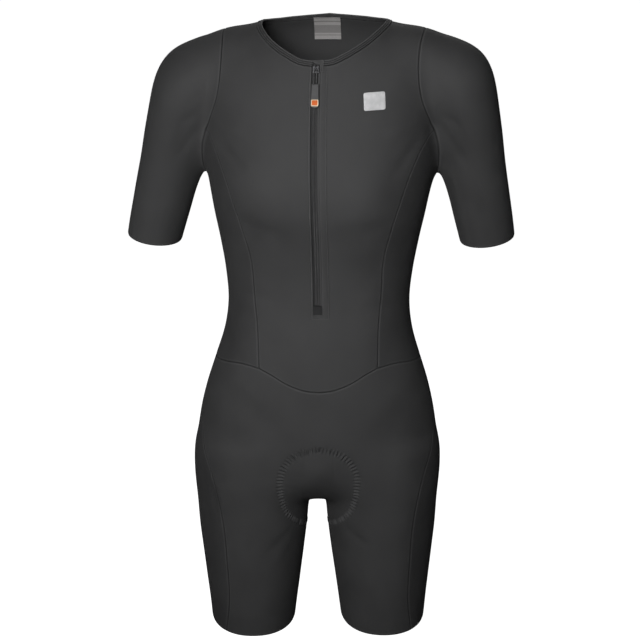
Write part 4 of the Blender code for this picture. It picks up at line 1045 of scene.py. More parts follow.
def swept_arrays(sections):
    """Points, faces and the two end caps of a closed bar through sections of equal point counts."""
    rings, size = sections.shape[:2]
    near, side = np.meshgrid(np.arange(rings - 1), np.arange(size), indexing="ij")
    a, b = near * size + side, near * size + (side + 1) % size
    faces = np.stack((a, b, b + size, a + size), -1).reshape(-1, 4)
    last = (rings - 1) * size
    return sections.reshape(-1, 3), faces, (range(size)[::-1], range(last, last + size))


def strip(name, section, heights, surface, sign=1, off=FAR):
    """A closed strip down the form's front: its section's points, as a side and a height over the
    form, at each of the heights. `sign` is -1 on the other side of the zip, and `off` is what the
    material takes as the distance from a border."""
    sides, rises = np.array(section).T
    base = front_at(sides[None, :], heights[:, None])
    sections = base + normals_at(base) * rises[None, :, None]
    points, faces, caps = swept_arrays(posed(sections * (sign, 1, 1)))
    knit = np.stack((np.broadcast_to(sides, base.shape[:2]), -base[..., 2],
                     np.broadcast_to(off, base.shape[:2])), -1).reshape(-1, 3)
    made = new_object("suit_" + name, points, faces, surface, caps=caps, values={"knit": knit})
    return right_side_out(made)


def slab_arrays(outline, thickness, edge):
    """Points, faces and caps of a flat piece with a rounded edge, facing -Y: rings of its outline
    (side, height), each drawn in towards the middle as the edge's quarter circles ask."""
    middle = outline.mean(axis=0)
    reach = np.linalg.norm(outline - middle, axis=1).min()
    turn = np.radians((0, 30, 60, 90))
    inset = np.concatenate((edge * (1 - np.sin(turn)), edge * (1 - np.cos(turn))))
    depth = np.concatenate((thickness / 2 - edge * (1 - np.cos(turn)),
                            -thickness / 2 + edge * (1 - np.sin(turn))))
    inset = np.concatenate(([reach * SLAB_MIDDLE], inset, [reach * SLAB_MIDDLE]))
    depth = np.concatenate((depth[:1], depth, depth[-1:]))
    share = 1 - inset / reach
    flat = middle + (outline - middle) * share[:, None, None]
    rings = np.stack((flat[..., 0], np.broadcast_to(depth[:, None], flat.shape[:2]), flat[..., 1]), -1)
    return swept_arrays(rings)


def rounded_box(half_wide, half_high, corner, steps=6):
    """Outline of a rectangle with round corners, as side and height."""
    turn = np.radians(np.linspace(0, 90, steps + 1))
    arcs = []
    for k, (across, up) in enumerate(((1, 1), (-1, 1), (-1, -1), (1, -1))):
        middle = np.array((across * (half_wide - corner), up * (half_high - corner)))
        arcs.append(middle + corner * np.column_stack((np.cos(turn + k * pi / 2),
                                                       np.sin(turn + k * pi / 2))))
    return np.vstack(arcs)


def turned(points, matrix):
    """Points carried by a 4 x 4 matrix."""
    matrix = np.array(matrix)
    return points @ matrix[:3, :3].T + matrix[:3, 3]


def pull_place():
    """Where the pull hangs: at the hinge, in the stance of the slider's height, tilted off the zip."""
    spin = stance_matrix(SLIDER_LEVEL).to_3x3().to_4x4()
    return Matrix.Translation(HINGE) @ spin @ Matrix.Rotation(-radians(PULL_TILT), 4, "X")


def laid_film(name, outline, middle, turn, thickness, surface, under):
    """A thin flat piece laid on the form's front: rings of its outline, each drawn in towards its
    middle by a share, whose outer ones fall away, over a copy of them at a height `under`."""
    spin = np.array(((cos(turn), -sin(turn)), (sin(turn), cos(turn))))
    shape = outline @ spin.T
    share, rise = np.array(FILM_RINGS).T
    flat = np.array(middle) + shape[None] * share[:, None, None]
    base = front_at(flat[..., 0], flat[..., 1])
    normal = normals_at(base)
    top = base + normal * (under + thickness * rise)[:, None, None]
    low = base + normal * under
    rings = posed(np.concatenate((top, low[::-1])))
    points, faces, caps = swept_arrays(rings)
    return right_side_out(new_object(name, points, faces, surface, caps=caps))


# ---------------------------------------------------------------- seam lines of the suit

def steps_of(length):
    """Even steps of the mesh that a length takes."""
    return max(int(round(length / chosen("cloth").step)), 2)


def line_steps(line):
    """Even steps of the mesh that a line takes."""
    return steps_of(walked(line)[-1])


def evenly(line, count):
    """A line's points at even steps."""
    return along(line, np.linspace(0, 1, count + 1))


@lru_cache(maxsize=None)
def leg_lines():
    """Dense lines of the shorts' +X half: the hems, the inseam, the crotch and the side panel's
    edges."""
    angle = {"front": (180, 90), "front_side": (90, PANEL_ANGLE), "side": (PANEL_ANGLE, -PANEL_ANGLE),
             "back": (-180, -90), "back_side": (-90, -PANEL_ANGLE)}
    line = {name + "_hem": hem_line(np.linspace(*span, 121)) for name, span in angle.items()}
    line["back_hem"][0] = line["front_hem"][0]
    rows = ring_rows()
    half = rows.shape[1] // 2
    line["inseam"] = line_between(rows[0, half], [], line["front_hem"][0])
    crotch = onto_form(np.array([[0.0, 0.0, CROTCH]]))[0]
    line["crotch"] = line_between(crotch, [], rows[-1, half])
    line["panel_front"] = line_between(seam(WAIST_SIDE_FRONT)[-1], LEG_PANEL_FRONT,
                                       line["front_side_hem"][-1])
    line["panel_back"] = line_between(seam(WAIST_SIDE_BACK)[-1], LEG_PANEL_BACK,
                                      line["back_side_hem"][-1])
    return line


@lru_cache(maxsize=None)
def ring_rows(rows=9):
    """Rows of points across the pad's ring on the +X side, from its outer to its inner edge, each
    running from the front's middle round the crotch to the back's middle."""
    middle = evenly(seam(PAD_RING), 2 * QUARTER_PUCKERS * PUCKER_STEPS)
    run = np.gradient(middle, axis=0)
    run[0], run[-1] = (1, 0, 0), (-1, 0, 0)
    outward = unit(np.cross(run, normals_at(middle)))
    if outward[0, 2] < 0:
        outward = -outward
    return np.stack([onto_form(middle + outward * side)
                     for side in np.linspace(RING_HALF, -RING_HALF, rows)])


# ---------------------------------------------------------------- cloth panels

def front_sheet():
    """The front's +X half: rows from the neck and the shoulder down to the waist, columns from the
    zip's slit and the middle out to the armhole and the princess seam."""
    neck, shoulder, waist = seam(NECK_FRONT), seam(SHOULDER_SEAM), seam(WAIST_FRONT)
    armhole, princess = seam(ARMHOLE_FRONT), seam(PRINCESS_FRONT)
    neck_length, waist_length = walked(neck)[-1], walked(waist)[-1]
    close = steps_of(ZIP_FINENESS * ZIP_SIDE)
    marks = stepped((ZIP_SIDE / neck_length, close), (1, steps_of(neck_length - ZIP_SIDE)))
    upper = joined(along(neck, marks), evenly(shoulder, line_steps(shoulder)))
    marks = stepped((ZIP_SIDE / waist_length, close), (1, len(upper) - 1 - close))
    lower = along(waist, marks)
    down = (line_steps(armhole), line_steps(princess))
    right = joined(evenly(armhole, down[0]), evenly(princess, down[1]))
    slit = front_at(SLIT, np.linspace(neck[0, 2], ZIP_FOOT, 161))
    slit[0] = neck[0]
    below = front_at(0.0, np.linspace(SLIT_FOOT, waist[0, 2], 81))
    below[-1] = waist[0]
    corner = front_at(np.linspace(SLIT, 0, 9), np.linspace(ZIP_FOOT, SLIT_FOOT, 9))
    counts = steps_of(walked(below)[-1]), 5
    left = joined(evenly(slit, sum(down) - sum(counts)), evenly(corner, counts[1]),
                  evenly(below, counts[0]))
    return grid_sheet(patch(bordered(upper), bordered(lower), bordered(left), bordered(right)))


def back_sheet():
    """The back's +X half: rows from the neck and the shoulder down to the waist, columns from the
    middle out to the armhole and the princess seam."""
    neck, shoulder, waist = seam(NECK_BACK)[::-1], seam(SHOULDER_SEAM), seam(WAIST_BACK)[::-1]
    armhole, princess = seam(ARMHOLE_BACK)[::-1], seam(PRINCESS_BACK)
    upper = joined(evenly(neck, line_steps(neck)), evenly(shoulder, line_steps(shoulder)))
    lower = evenly(waist, len(upper) - 1)
    right = joined(evenly(armhole, line_steps(armhole)), evenly(princess, line_steps(princess)))
    middle = front_at(0.0, np.linspace(neck[0, 2], waist[0, 2], 241), back=True)
    middle[0], middle[-1] = neck[0], waist[0]
    left = evenly(middle, len(right) - 1)
    lines = (bordered(upper, start=False), bordered(lower, start=False), bordered(left),
             bordered(right))
    return grid_sheet(patch(*lines))


def side_sheet():
    """The panel under the arm, from the armhole down to the waist."""
    front, back = seam(ARMHOLE_UNDER_FRONT), seam(ARMHOLE_UNDER_BACK)
    waist = joined(seam(WAIST_SIDE_FRONT), seam(WAIST_SIDE_BACK))
    upper = joined(evenly(front, line_steps(front)), evenly(back, line_steps(back)))
    lower = evenly(waist, len(upper) - 1)
    left = evenly(seam(PRINCESS_FRONT), line_steps(seam(PRINCESS_FRONT)))
    right = evenly(seam(PRINCESS_BACK), len(left) - 1)
    return grid_sheet(patch(*(bordered(line) for line in (upper, lower, left, right))))


def sleeve_sheets():
    """The +X sleeve in four quarters round the arm, from the armhole down to the cuff."""
    front, back = seam(ARMHOLE_FRONT), seam(ARMHOLE_BACK)
    under = seam(ARMHOLE_UNDER_FRONT), seam(ARMHOLE_UNDER_BACK)
    tops = ((along(front, np.linspace(0, SLEEVE_SHARE, 121)),),
            (along(front, np.linspace(SLEEVE_SHARE, 1, 21)), under[0]),
            (under[1], along(back, np.linspace(0, 1 - SLEEVE_SHARE, 21))),
            (along(back, np.linspace(1 - SLEEVE_SHARE, 1, 121)),))
    tops = [joined(*(evenly(line, line_steps(line)) for line in lines)) for lines in tops]
    cuffs = [cuff_line(np.linspace(90 * k, 90 * k + 90, len(top))) for k, top in enumerate(tops)]
    cuffs[3][-1] = cuffs[0][0]
    guides = (OVERARM, ARM_FRONT, UNDERARM, ARM_BACK)
    falls = [line_between(top[0], guide, cuff[0]) for top, guide, cuff in zip(tops, guides, cuffs)]
    long = steps_of(np.mean([walked(fall)[-1] for fall in falls]))
    falls = [bordered(evenly(fall, long)) for fall in falls]
    grids = [patch(tops[k], cuffs[k], falls[k], falls[(k + 1) % 4]) for k in range(4)]
    sheets = []
    for near, far in ((grids[0], grids[1]), (grids[3][:, ::-1], grids[2][:, ::-1])):
        sheets.append(grid_sheet(near, level=False))
        sheets.append(grid_sheet(far, start=last_wales(sheets[-1], near), level=False))
    return sheets


def shorts_sheets(front):
    """The +X half of the shorts' front or back: two panels side by side from the waist to the hem,
    the puckered ring of the seat pad and the cloth within the ring."""
    line = leg_lines()
    rows = ring_rows() if front else ring_rows()[:, ::-1]
    half = rows.shape[1] // 2
    near, inside = rows[0, :half + 1], rows[-1, :half + 1]
    if front:
        waists, hems = (seam(WAIST_FRONT), seam(WAIST_SIDE_FRONT)), ("front_hem", "front_side_hem")
        guide, seat_guide, edge = THIGH_FRONT, SEAT_FRONT, line["panel_front"]
    else:
        waist = seam(WAIST_BACK)[::-1]
        waists = along(waist, np.linspace(0, 2 / 3, 161)), along(waist, np.linspace(2 / 3, 1, 81))
        hems = ("back_hem", "back_side_hem")
        guide, seat_guide, edge = THIGH_BACK, SEAT_BACK, line["panel_back"]
    centre = line_between(waists[0][0], [], near[0])
    thigh = line_between(waists[0][-1], guide, line[hems[0]][-1])
    counts = (line_steps(centre), half, line_steps(line["inseam"]))
    shares = stepped(*zip(THIGH_SHARES, counts))
    inner = joined(evenly(centre, counts[0]), near, evenly(line["inseam"], counts[2]))
    wide = [line_steps(waist) for waist in waists]
    tops = [evenly(waist, count) for waist, count in zip(waists, wide)]
    feet = [evenly(line[hem], count) for hem, count in zip(hems, wide)]
    inner, thigh, edge = (bordered(side) for side in (inner, along(thigh, shares), along(edge, shares)))
    grid = patch(tops[0], feet[0], inner, thigh)
    first = grid_sheet(grid, start=grid[:, 0, 0])
    second = grid_sheet(patch(bordered(tops[1], start=False), bordered(feet[1], start=False), thigh,
                              edge), start=last_wales(first, grid))
    upper = int(round(LENS_UPPER * half))
    crotch = evenly(line["crotch"], upper)
    middle = evenly(line_between(inside[0], seat_guide, crotch[0]), half - upper)
    coarse = evened(patch(*(evenly(side, count) for side, count in (
        (inside[:upper + 1], 8), (crotch, 8), (middle, 12), (inside[upper:], 12)))), LENS_ROUNDS)
    lens = refined(coarse, half - upper + 1, upper + 1)
    lens[0], lens[-1], lens[:, 0], lens[:, -1] = inside[:upper + 1], crotch, middle, inside[upper:]
    lens = evened(lens, LENS_FINE_ROUNDS)
    band = rows[:, :half + 1]
    return [first, second, plain_sheet(lens), plain_sheet(band)]


def pucker_rise(points):
    """Height of the puckers: a cosine wave along the ring times a bell curve across it, less half as
    deep a trough under the whole ring. Slow sines of the pucker's number make each pucker a little
    taller or lower, and a little early or late."""
    rows = ring_rows()
    middle = rows[len(rows) // 2]
    both = np.vstack((middle, middle * (-1, 1, 1)))
    count = len(both)
    rise = np.zeros(len(points))
    near = np.flatnonzero(away_from(points, both[::4]) < RING_REACH)
    gaps = np.sum((points[near][:, None] - both[None])**2, -1)
    place = np.argmin(gaps, axis=1)
    off = np.sqrt(gaps[np.arange(len(near)), place]) / RING_HALF
    turn = place % (count // 2) / PUCKER_STEPS
    number = np.floor(turn)
    tall = 0.75 + 0.35 * np.sin(2.3 * number + 0.9) * np.sin(0.7 * number)
    wave = np.cos(2 * pi * turn + 0.5 * np.sin(1.3 * number)) * tall
    settings = chosen("cloth")
    rise[near] = settings.pucker_rise * wave * np.exp(-(off / PUCKER_REACH)**4)
    rise[near] -= 0.5 * settings.pucker_rise * np.exp(-(off / TROUGH_REACH)**2)
    return rise


def zip_welt(points):
    """Height of the cloth beside the zip: half a sine's wave from the slit out to each row of stitches
    less a narrow bell curve under the stitches, both fading out above the row across the foot."""
    x, z = points[:, 0], points[:, 2]
    settings = chosen("cloth")
    total = np.zeros(len(points))
    front = points[:, 1] < WELT_DEPTH
    for edge in (STITCH_RIGHT, STITCH_LEFT):
        share = np.clip((np.abs(x) - SLIT) / (abs(edge) - SLIT), 0, 1)
        side = (x * edge > 0) & front
        beside = np.clip((z - STITCH_FOOT - WELT_FADE[0]) / WELT_FADE[1], 0, 1)
        total += np.where(side, settings.welt * np.sin(pi * share) * (share < 1), 0) * beside
        total -= settings.stitch_trough * np.exp(-((x - edge) / STITCH_REACH)**2) * front * beside
    return total


# ---------------------------------------------------------------- materials

def shader_of(name, colour, roughness, **settings):
    """A new material and its Principled shader, with these constants on the shader's own sockets."""
    made = bpy.data.materials.new(name)
    made.use_nodes = True
    made.diffuse_color = (*colour, 1.0)
    shader = made.node_tree.nodes["Principled BSDF"]
    shader.inputs["Base Color"].default_value = (*colour, 1.0)
    shader.inputs["Roughness"].default_value = roughness
    for key, value in settings.items():
        shader.inputs[key.replace("_", " ")].default_value = value
    return made, shader


def add_node(made, kind, inputs, output=0, **settings):
    """Add a node with its settings; each input is a number, a vector or another node's output.
    Returns its output."""
    item = made.node_tree.nodes.new("ShaderNode" + kind)
    for key, value in settings.items():
        setattr(item, key, value)
    for key, value in inputs.items():
        if isinstance(value, bpy.types.NodeSocket):
            made.node_tree.links.new(value, item.inputs[key])
        else:
            item.inputs[key].default_value = value
    return item.outputs[output]


def calc(made, operation, first, second=0.0):
    """One sum on two numbers or outputs."""
    return add_node(made, "Math", {0: first, 1: second}, operation=operation)


def wave_of(made, value, pitch):
    """A wave from 0 to 1 that repeats each `pitch` of a distance."""
    turn = calc(made, "MULTIPLY", value, 2 * pi / pitch)
    return calc(made, "MULTIPLY", calc(made, "ADD", calc(made, "SINE", turn), 1.0), 0.5)


def ramped(made, value, start, end, low, high):
    """A value that runs smoothly from `low` to `high` while another runs from start to end."""
    return add_node(made, "MapRange", {"Value": value, "From Min": start, "From Max": end,
                                       "To Min": low, "To Max": high},
                    interpolation_type="SMOOTHSTEP")


def noise(made, where, scale, detail=2.0):
    """Even noise from 0 to 1 at points in metres."""
    return add_node(made, "TexNoise", {"Vector": where, "Scale": scale, "Detail": detail})


def tinted(made, shader, colour, factor):
    """Let the shader's colour be a colour times a value that changes over the surface."""
    scaled = add_node(made, "VectorMath", {0: (*colour,), "Scale": factor}, operation="SCALE")
    made.node_tree.links.new(scaled, shader.inputs["Base Color"])


def bumped(made, shader, height, distance, strength=1.0):
    """Let a height of 0 to 1 stand for this distance in the shading."""
    bump = add_node(made, "Bump", {"Height": height, "Distance": distance, "Strength": strength})
    made.node_tree.links.new(bump, shader.inputs["Normal"])


def distances(made):
    """The cloth's own distances at a point, as three outputs: across, down and from its border."""
    knit = add_node(made, "Attribute", {}, output="Vector", attribute_name="knit")
    parts = made.node_tree.nodes.new("ShaderNodeSeparateXYZ")
    made.node_tree.links.new(knit, parts.inputs[0])
    return list(parts.outputs)


def knit_cloth(name, colour, wale, course, roughness, sheen, depth=0.00012, edge=0.3):
    """Fine warp-knitted cloth: loops as the product of a wave across, one each wale, and a wave down, one
    each course. The colour is that of the dye times faint clouds, loops and fibres. Within each seam it
    falls to the share `edge`, a painted shadow, and beside each seam runs a paler line, a painted
    highlight."""
    made, shader = shader_of(name, colour, roughness, Sheen_Weight=sheen, Sheen_Roughness=0.5,
                             Specular_IOR_Level=0.22)
    across, down, off = distances(made)
    where = add_node(made, "TexCoord", {}, output="Object")
    loops = calc(made, "MULTIPLY", wave_of(made, across, wale), wave_of(made, down, course))
    fibre = noise(made, where, 2600.0, 1.0)
    patchy = noise(made, where, 22.0, 4.0)
    # Painted shadow: the colour falls to the share edge within each seam, times the random clouds.
    shade = calc(made, "MULTIPLY", ramped(made, off, *SEAM_SHADOW, edge, 1.0),
                 ramped(made, patchy, 0.3, 0.7, 0.93, 1.07))
    # Painted highlight: a paler line beside each seam, as if light caught the cloth's turned edge.
    highlight = calc(made, "MULTIPLY", ramped(made, off, *HIGHLIGHT_LINE[:2], 0.0, HIGHLIGHT_GAIN),
                ramped(made, off, *HIGHLIGHT_LINE[1:], 1.0, 0.0))
    grain = calc(made, "ADD", calc(made, "MULTIPLY", loops, LOOP_SHADE),
                 calc(made, "MULTIPLY", fibre, FIBRE_SHADE))
    shade = calc(made, "MULTIPLY", calc(made, "ADD", shade, highlight),
                 calc(made, "ADD", grain, GRAIN_BASE))
    tinted(made, shader, colour, shade)
    gloss = ramped(made, patchy, 0.25, 0.75, roughness - 0.05, roughness + 0.05)
    made.node_tree.links.new(gloss, shader.inputs["Roughness"])
    bumped(made, shader, calc(made, "ADD", loops, calc(made, "MULTIPLY", fibre, 0.5)), depth)
    return made


def twisted_thread(name, colour, roughness=0.55):
    """Sewing thread: fine diagonal twist, a little sheen."""
    made, shader = shader_of(name, colour, roughness, Sheen_Weight=0.2, Specular_IOR_Level=0.4)
    where = add_node(made, "TexCoord", {}, output="Object")
    strand = noise(made, where, 3400.0, 1.0)
    shade = ramped(made, strand, 0.3, 0.7, 0.75, 1.2)
    tinted(made, shader, colour, shade)
    bumped(made, shader, strand, 0.00008)
    return made


def moulded(name, colour, roughness, grain_scale=900.0, depth=0.00004, **settings):
    """Moulded plastic or rubber: a fine grain in the gloss and the relief, faint clouds of colour."""
    made, shader = shader_of(name, colour, roughness, **settings)
    where = add_node(made, "TexCoord", {}, output="Object")
    grain = noise(made, where, grain_scale, 3.0)
    cloud = noise(made, where, 120.0, 3.0)
    shade = ramped(made, cloud, 0.3, 0.7, 0.88, 1.1)
    tinted(made, shader, colour, shade)
    gloss = ramped(made, grain, 0.3, 0.7, max(roughness - 0.08, 0.05), roughness + 0.08)
    made.node_tree.links.new(gloss, shader.inputs["Roughness"])
    bumped(made, shader, grain, depth)
    return made


def woven(name, colour, pitch, roughness, depth=0.0001, bands=()):
    """Plain weave on a piece's own distances: threads over and under each other by turns, as the
    difference of a wave across and a wave down. A band is a stretch downwards and its shade."""
    made, shader = shader_of(name, colour, roughness, Sheen_Weight=0.15, Specular_IOR_Level=0.35)
    across, down = distances(made)[:2]
    over = wave_of(made, across, pitch)
    under = wave_of(made, down, pitch)
    weave = calc(made, "ABSOLUTE", calc(made, "SUBTRACT", over, under))
    shade = ramped(made, weave, 0.0, 1.0, 0.78, 1.1)
    for low, high, factor in bands:
        inside = calc(made, "MULTIPLY", ramped(made, down, low - BAND_EDGE, low + BAND_EDGE, 0.0, 1.0),
                      ramped(made, down, high - BAND_EDGE, high + BAND_EDGE, 1.0, 0.0))
        shade = calc(made, "MULTIPLY", shade,
                     calc(made, "ADD", 1.0, calc(made, "MULTIPLY", inside, factor - 1.0)))
    tinted(made, shader, colour, shade)
    bumped(made, shader, weave, depth)
    return made


# ---------------------------------------------------------------- settings

def colour_setting(name, description, default):
    """A colour that a user may change."""
    return FloatVectorProperty(name=name, description=description, default=default, size=3,
                               subtype="COLOR", min=0.0, max=1.0)


def length_setting(name, description, default):
    """A length that a user may change, in metres."""
    return FloatProperty(name=name, description=description, default=default, min=0.0,
                         unit="LENGTH", precision=5)


class ClothSettings(bpy.types.PropertyGroup):
    """The cloth, its seams and its creases."""
    step: length_setting("Mesh step", "Distance between the points of a panel", 0.0034)
    seam_dip: length_setting("Seam dip", "How deep the cloth turns down at a seam", 0.0005)
    seam_reach: length_setting("Seam reach", "How far beside a seam the cloth starts to turn", 0.0011)
    crease_strength: FloatProperty(name="Creases", description="Height of the soft creases, as a share",
                                   default=1.5, min=0.0, max=2.0, subtype="FACTOR")
    unevenness: length_setting("Unevenness", "Height of the cloth's faint waves", 0.00011)
    pucker_rise: length_setting("Puckers", "Height of the puckers round the seat pad", 0.0012)
    welt: length_setting("Zip welt", "Height of the cloth's welt beside the zip", 0.0004)
    stitch_trough: length_setting("Stitch trough", "How deep a row of stitches draws the cloth in",
                                  0.0004)
    colour: colour_setting("Cloth", "Colour of the main cloth", (0.036, 0.036, 0.0365))
    side_colour: colour_setting("Side cloth", "Colour of the side panels", (0.033, 0.033, 0.0335))
    thread: colour_setting("Thread", "Colour of the sewing thread", (0.055, 0.055, 0.056))
    # Painted shadow: near-black thread laid beside the zip's stitches, where the cloth's trough lies in
    # shade.
    under_thread: colour_setting("Under thread", "Colour of the zip's second row of thread",
                                 (0.006, 0.006, 0.006))


class ZipSettings(bpy.types.PropertyGroup):
    """The zip, its sewing and the pull."""
    pitch: length_setting("Tooth pitch", "Distance between the teeth of one side", 0.0014)
    tooth: length_setting("Tooth radius", "Half thickness of a tooth", 0.00048)
    stitch_pitch: length_setting("Stitch pitch", "Distance between the stitches", 0.0026)
    stitch_length: length_setting("Stitch length", "Length of a stitch", 0.0021)
    thread_radius: length_setting("Thread radius", "Half thickness of the sewing thread", 0.00030)
    tape: colour_setting("Tape", "Colour of the zip's tapes", (0.012, 0.012, 0.0125))
    teeth: colour_setting("Teeth", "Colour of the zip's teeth", (0.046, 0.046, 0.047))
    stop: colour_setting("Stop", "Colour of the patch at the zip's foot", (0.013, 0.013, 0.0135))
    metal: colour_setting("Metal", "Colour of the slider", (0.06, 0.06, 0.063))
    grip: colour_setting("Grip", "Colour of the pull's grip", (0.050, 0.050, 0.051))
    cord: colour_setting("Cord", "Colour of the pull's cord", (0.043, 0.043, 0.044))
    badge: colour_setting("Badge", "Colour of the grip's badge", (0.52, 0.105, 0.020))
    badge_rim: colour_setting("Badge's rim", "Colour of the badge's rim", (0.60, 0.50, 0.36))


class TrimSettings(bpy.types.PropertyGroup):
    """The neck binding, the label and the film patch."""
    binding: colour_setting("Binding", "Colour of the neck binding", (0.062, 0.062, 0.063))
    label: colour_setting("Label", "Colour of the woven label", (0.31, 0.30, 0.295))
    film: colour_setting("Film patch", "Colour of the patch on the chest", (0.45, 0.45, 0.455))


class StageSettings(bpy.types.PropertyGroup):
    """The floor, the lights and the camera."""
    floor_drop: length_setting("Floor", "How far the floor lies below the suit", 0.30)
    distance: length_setting("Distance", "From the camera to its target", 3.0)
    elevation: FloatProperty(name="Elevation", description="The camera's height over the level",
                             default=radians(12), subtype="ANGLE")
    lens: FloatProperty(name="Lens", description="Focal length in millimetres", default=126.9, min=1.0)
    shift: FloatProperty(name="Shift", description="The camera's shift to the side", default=0.0031)
    key: FloatProperty(name="Key light", description="Power of the low front light", default=8.6,
                       min=0.0, unit="POWER")
    fill: FloatProperty(name="Fill light", description="Power of each side light", default=3.0,
                        min=0.0, unit="POWER")
    sky: FloatProperty(name="Sky", description="Brightness of the light from all round", default=0.03,
                       min=0.0)


def chosen(group):
    """The scene's settings of one group."""
    return getattr(bpy.context.scene, "suit_" + group)


FINISHES = {               # maker, group and name of its colour, the maker's numbers, its named values
    "cloth": (knit_cloth, "cloth", "colour", (0.00075, 0.00060, 0.66, 0.02), {}),
    # The side panels' painted seam shadow is fainter: their colour falls only to 0.65 within a seam.
    "side_cloth": (knit_cloth, "cloth", "side_colour", (0.00095, 0.00045, 0.60, 0.02), {"edge": 0.65}),
    "binding": (knit_cloth, "trim", "binding", (0.00060, 0.00050, 0.60, 0.03), {}),
    "thread": (twisted_thread, "cloth", "thread", (), {}),
    # Near-black thread that paints the shadow beside the zip's stitches.
    "under_thread": (twisted_thread, "cloth", "under_thread", (), {}),
    "tape": (woven, "zip", "tape", (0.00070, 0.62), {}),
    "teeth": (moulded, "zip", "teeth", (0.50,), {"Specular_IOR_Level": 0.25}),
    "stop": (moulded, "zip", "stop", (0.45,), {"Specular_IOR_Level": 0.12}),
    "metal": (moulded, "zip", "metal", (0.36, 700.0, 0.000004), {"Metallic": 1.0}),
    "rubber": (moulded, "zip", "grip", (0.60, 1200.0, 0.00002), {"Specular_IOR_Level": 0.2}),
    "cord": (woven, "zip", "cord", (0.00055, 0.70), {}),
    "badge": (moulded, "zip", "badge", (0.65,), {"Specular_IOR_Level": 0.15}),
    "badge_rim": (moulded, "zip", "badge_rim", (0.65,), {"Specular_IOR_Level": 0.15}),
    "label": (woven, "trim", "label", (0.00050, 0.72), {"bands": LABEL_BANDS}),
    "film": (moulded, "trim", "film", (0.62, 500.0, 0.00002),
             {"Metallic": 0.10, "Specular_IOR_Level": 0.25}),
}


@lru_cache(maxsize=None)
def finish_of(name):
    """The material of one finish, made once."""
    maker, group, colour, numbers, named = FINISHES[name]
    return maker("suit_" + name, getattr(chosen(group), colour), *numbers, **named)


# ---------------------------------------------------------------- operators

class SUIT_OT_front(bpy.types.Operator):
    """Cut the front in one piece, with the zip's slit"""
    bl_idname = "suit.front"
    bl_label = "Front"

    def execute(self, context):
        cloth_piece("front", whole([front_sheet()]), finish_of("cloth"), "cloth",
                    rise_of=zip_welt)
        return {"FINISHED"}


class SUIT_OT_back(bpy.types.Operator):
    """Cut the back in one piece"""
    bl_idname = "suit.back"
    bl_label = "Back"

    def execute(self, context):
        cloth_piece("back", whole([back_sheet()]), finish_of("cloth"), "cloth")
        return {"FINISHED"}


class SUIT_OT_sides(bpy.types.Operator):
    """Cut the panel under each arm"""
    bl_idname = "suit.sides"
    bl_label = "Side panels"

    def execute(self, context):
        both_sides("side", [side_sheet()], finish_of("side_cloth"), "side_cloth")
        return {"FINISHED"}


class SUIT_OT_sleeves(bpy.types.Operator):
    """Cut the two short sleeves"""
    bl_idname = "suit.sleeves"
    bl_label = "Sleeves"

    def execute(self, context):
        both_sides("sleeve", sleeve_sheets(), finish_of("cloth"), "cloth")
        return {"FINISHED"}


class SUIT_OT_shorts(bpy.types.Operator):
    """Cut the shorts' front and back, with the puckered ring of the seat pad"""
    bl_idname = "suit.shorts"
    bl_label = "Shorts"

    def execute(self, context):
        for node, front in (("shorts_front", True), ("shorts_back", False)):
            cloth_piece(node, whole(shorts_sheets(front)), finish_of("cloth"), "cloth",
                        rise_of=pucker_rise)
        return {"FINISHED"}


class SUIT_OT_leg_sides(bpy.types.Operator):
    """Cut the panel down each leg's outer side"""
    bl_idname = "suit.leg_sides"
    bl_label = "Leg side panels"

    def execute(self, context):
        line = leg_lines()
        waist = evenly(seam(WAIST_SIDE_BACK), line_steps(seam(WAIST_SIDE_BACK)) + 6)
        hem = evenly(line["side_hem"], len(waist) - 1)
        hem[0], hem[-1] = line["front_side_hem"][-1], line["back_side_hem"][-1]
        left = evenly(line["panel_front"], line_steps(line["panel_front"]))
        right = evenly(line["panel_back"], len(left) - 1)
        grid = patch(*(bordered(side) for side in (waist, hem, left, right)))
        both_sides("leg_side", [grid_sheet(grid)], finish_of("side_cloth"), "side_cloth")
        return {"FINISHED"}


class SUIT_OT_binding(bpy.types.Operator):
    """Sew the ribbed binding round the neck, open at the zip. Each rib's height is a power of a sine of
    the way across, and each groove and the sewn edge get the cloth's painted seam shadow, with its painted
    highlight line beside them"""
    bl_idname = "suit.binding"
    bl_label = "Neck binding"

    def execute(self, context):
        front, back = seam(NECK_FRONT), seam(NECK_BACK)
        neck = joined(evenly(front, 2 * line_steps(front)), evenly(back, 2 * line_steps(back)))
        run = np.gradient(neck, axis=0)
        run[-1] = (-1, 0, 0)
        inward = unit(np.cross(normals_at(neck), run))
        normal = normals_at(neck[:1])[0]
        inward[0] = unit((0, 0, 1) - normal * normal[2])
        if inward[0] @ inward[1] < 0:
            inward[1:] = -inward[1:]
        share = np.clip(np.arange(len(neck)) / BINDING_BLEND, 0, 1)[:, None]
        inward = unit(inward[:1] * (1 - share) + inward * share)
        sides = np.linspace(0, BINDING_WIDTH, BINDING_LINES)
        grid = np.stack([onto_form(neck + inward * side) for side in sides])
        sheet = grid_sheet(grid, level=False)
        sheet.knit = np.column_stack((np.tile(walked(neck), len(sides)), np.repeat(sides, len(neck))))
        sheet = merged(whole([sheet]))
        side = sheet.knit[:, 1]
        ribs = BINDING_LOW + BINDING_RIB * np.abs(np.sin(pi * side / BINDING_PITCH))**BINDING_FULLNESS
        from_groove = np.abs(side[:, None] - np.array((1, 2)) * BINDING_PITCH).min(axis=1)
        # Distances that paint the seam shadow into each groove and along the sewn edge, and the highlight
        # line beside them.
        off = np.minimum(0.6 * side + 0.0001, 0.5 * from_groove + 0.00025)
        made = wall_piece("neck_binding", sheet, np.column_stack((sheet.knit, off)),
                          finish_of("binding"), "binding", ribs, 0.0)
        return {"FINISHED"}


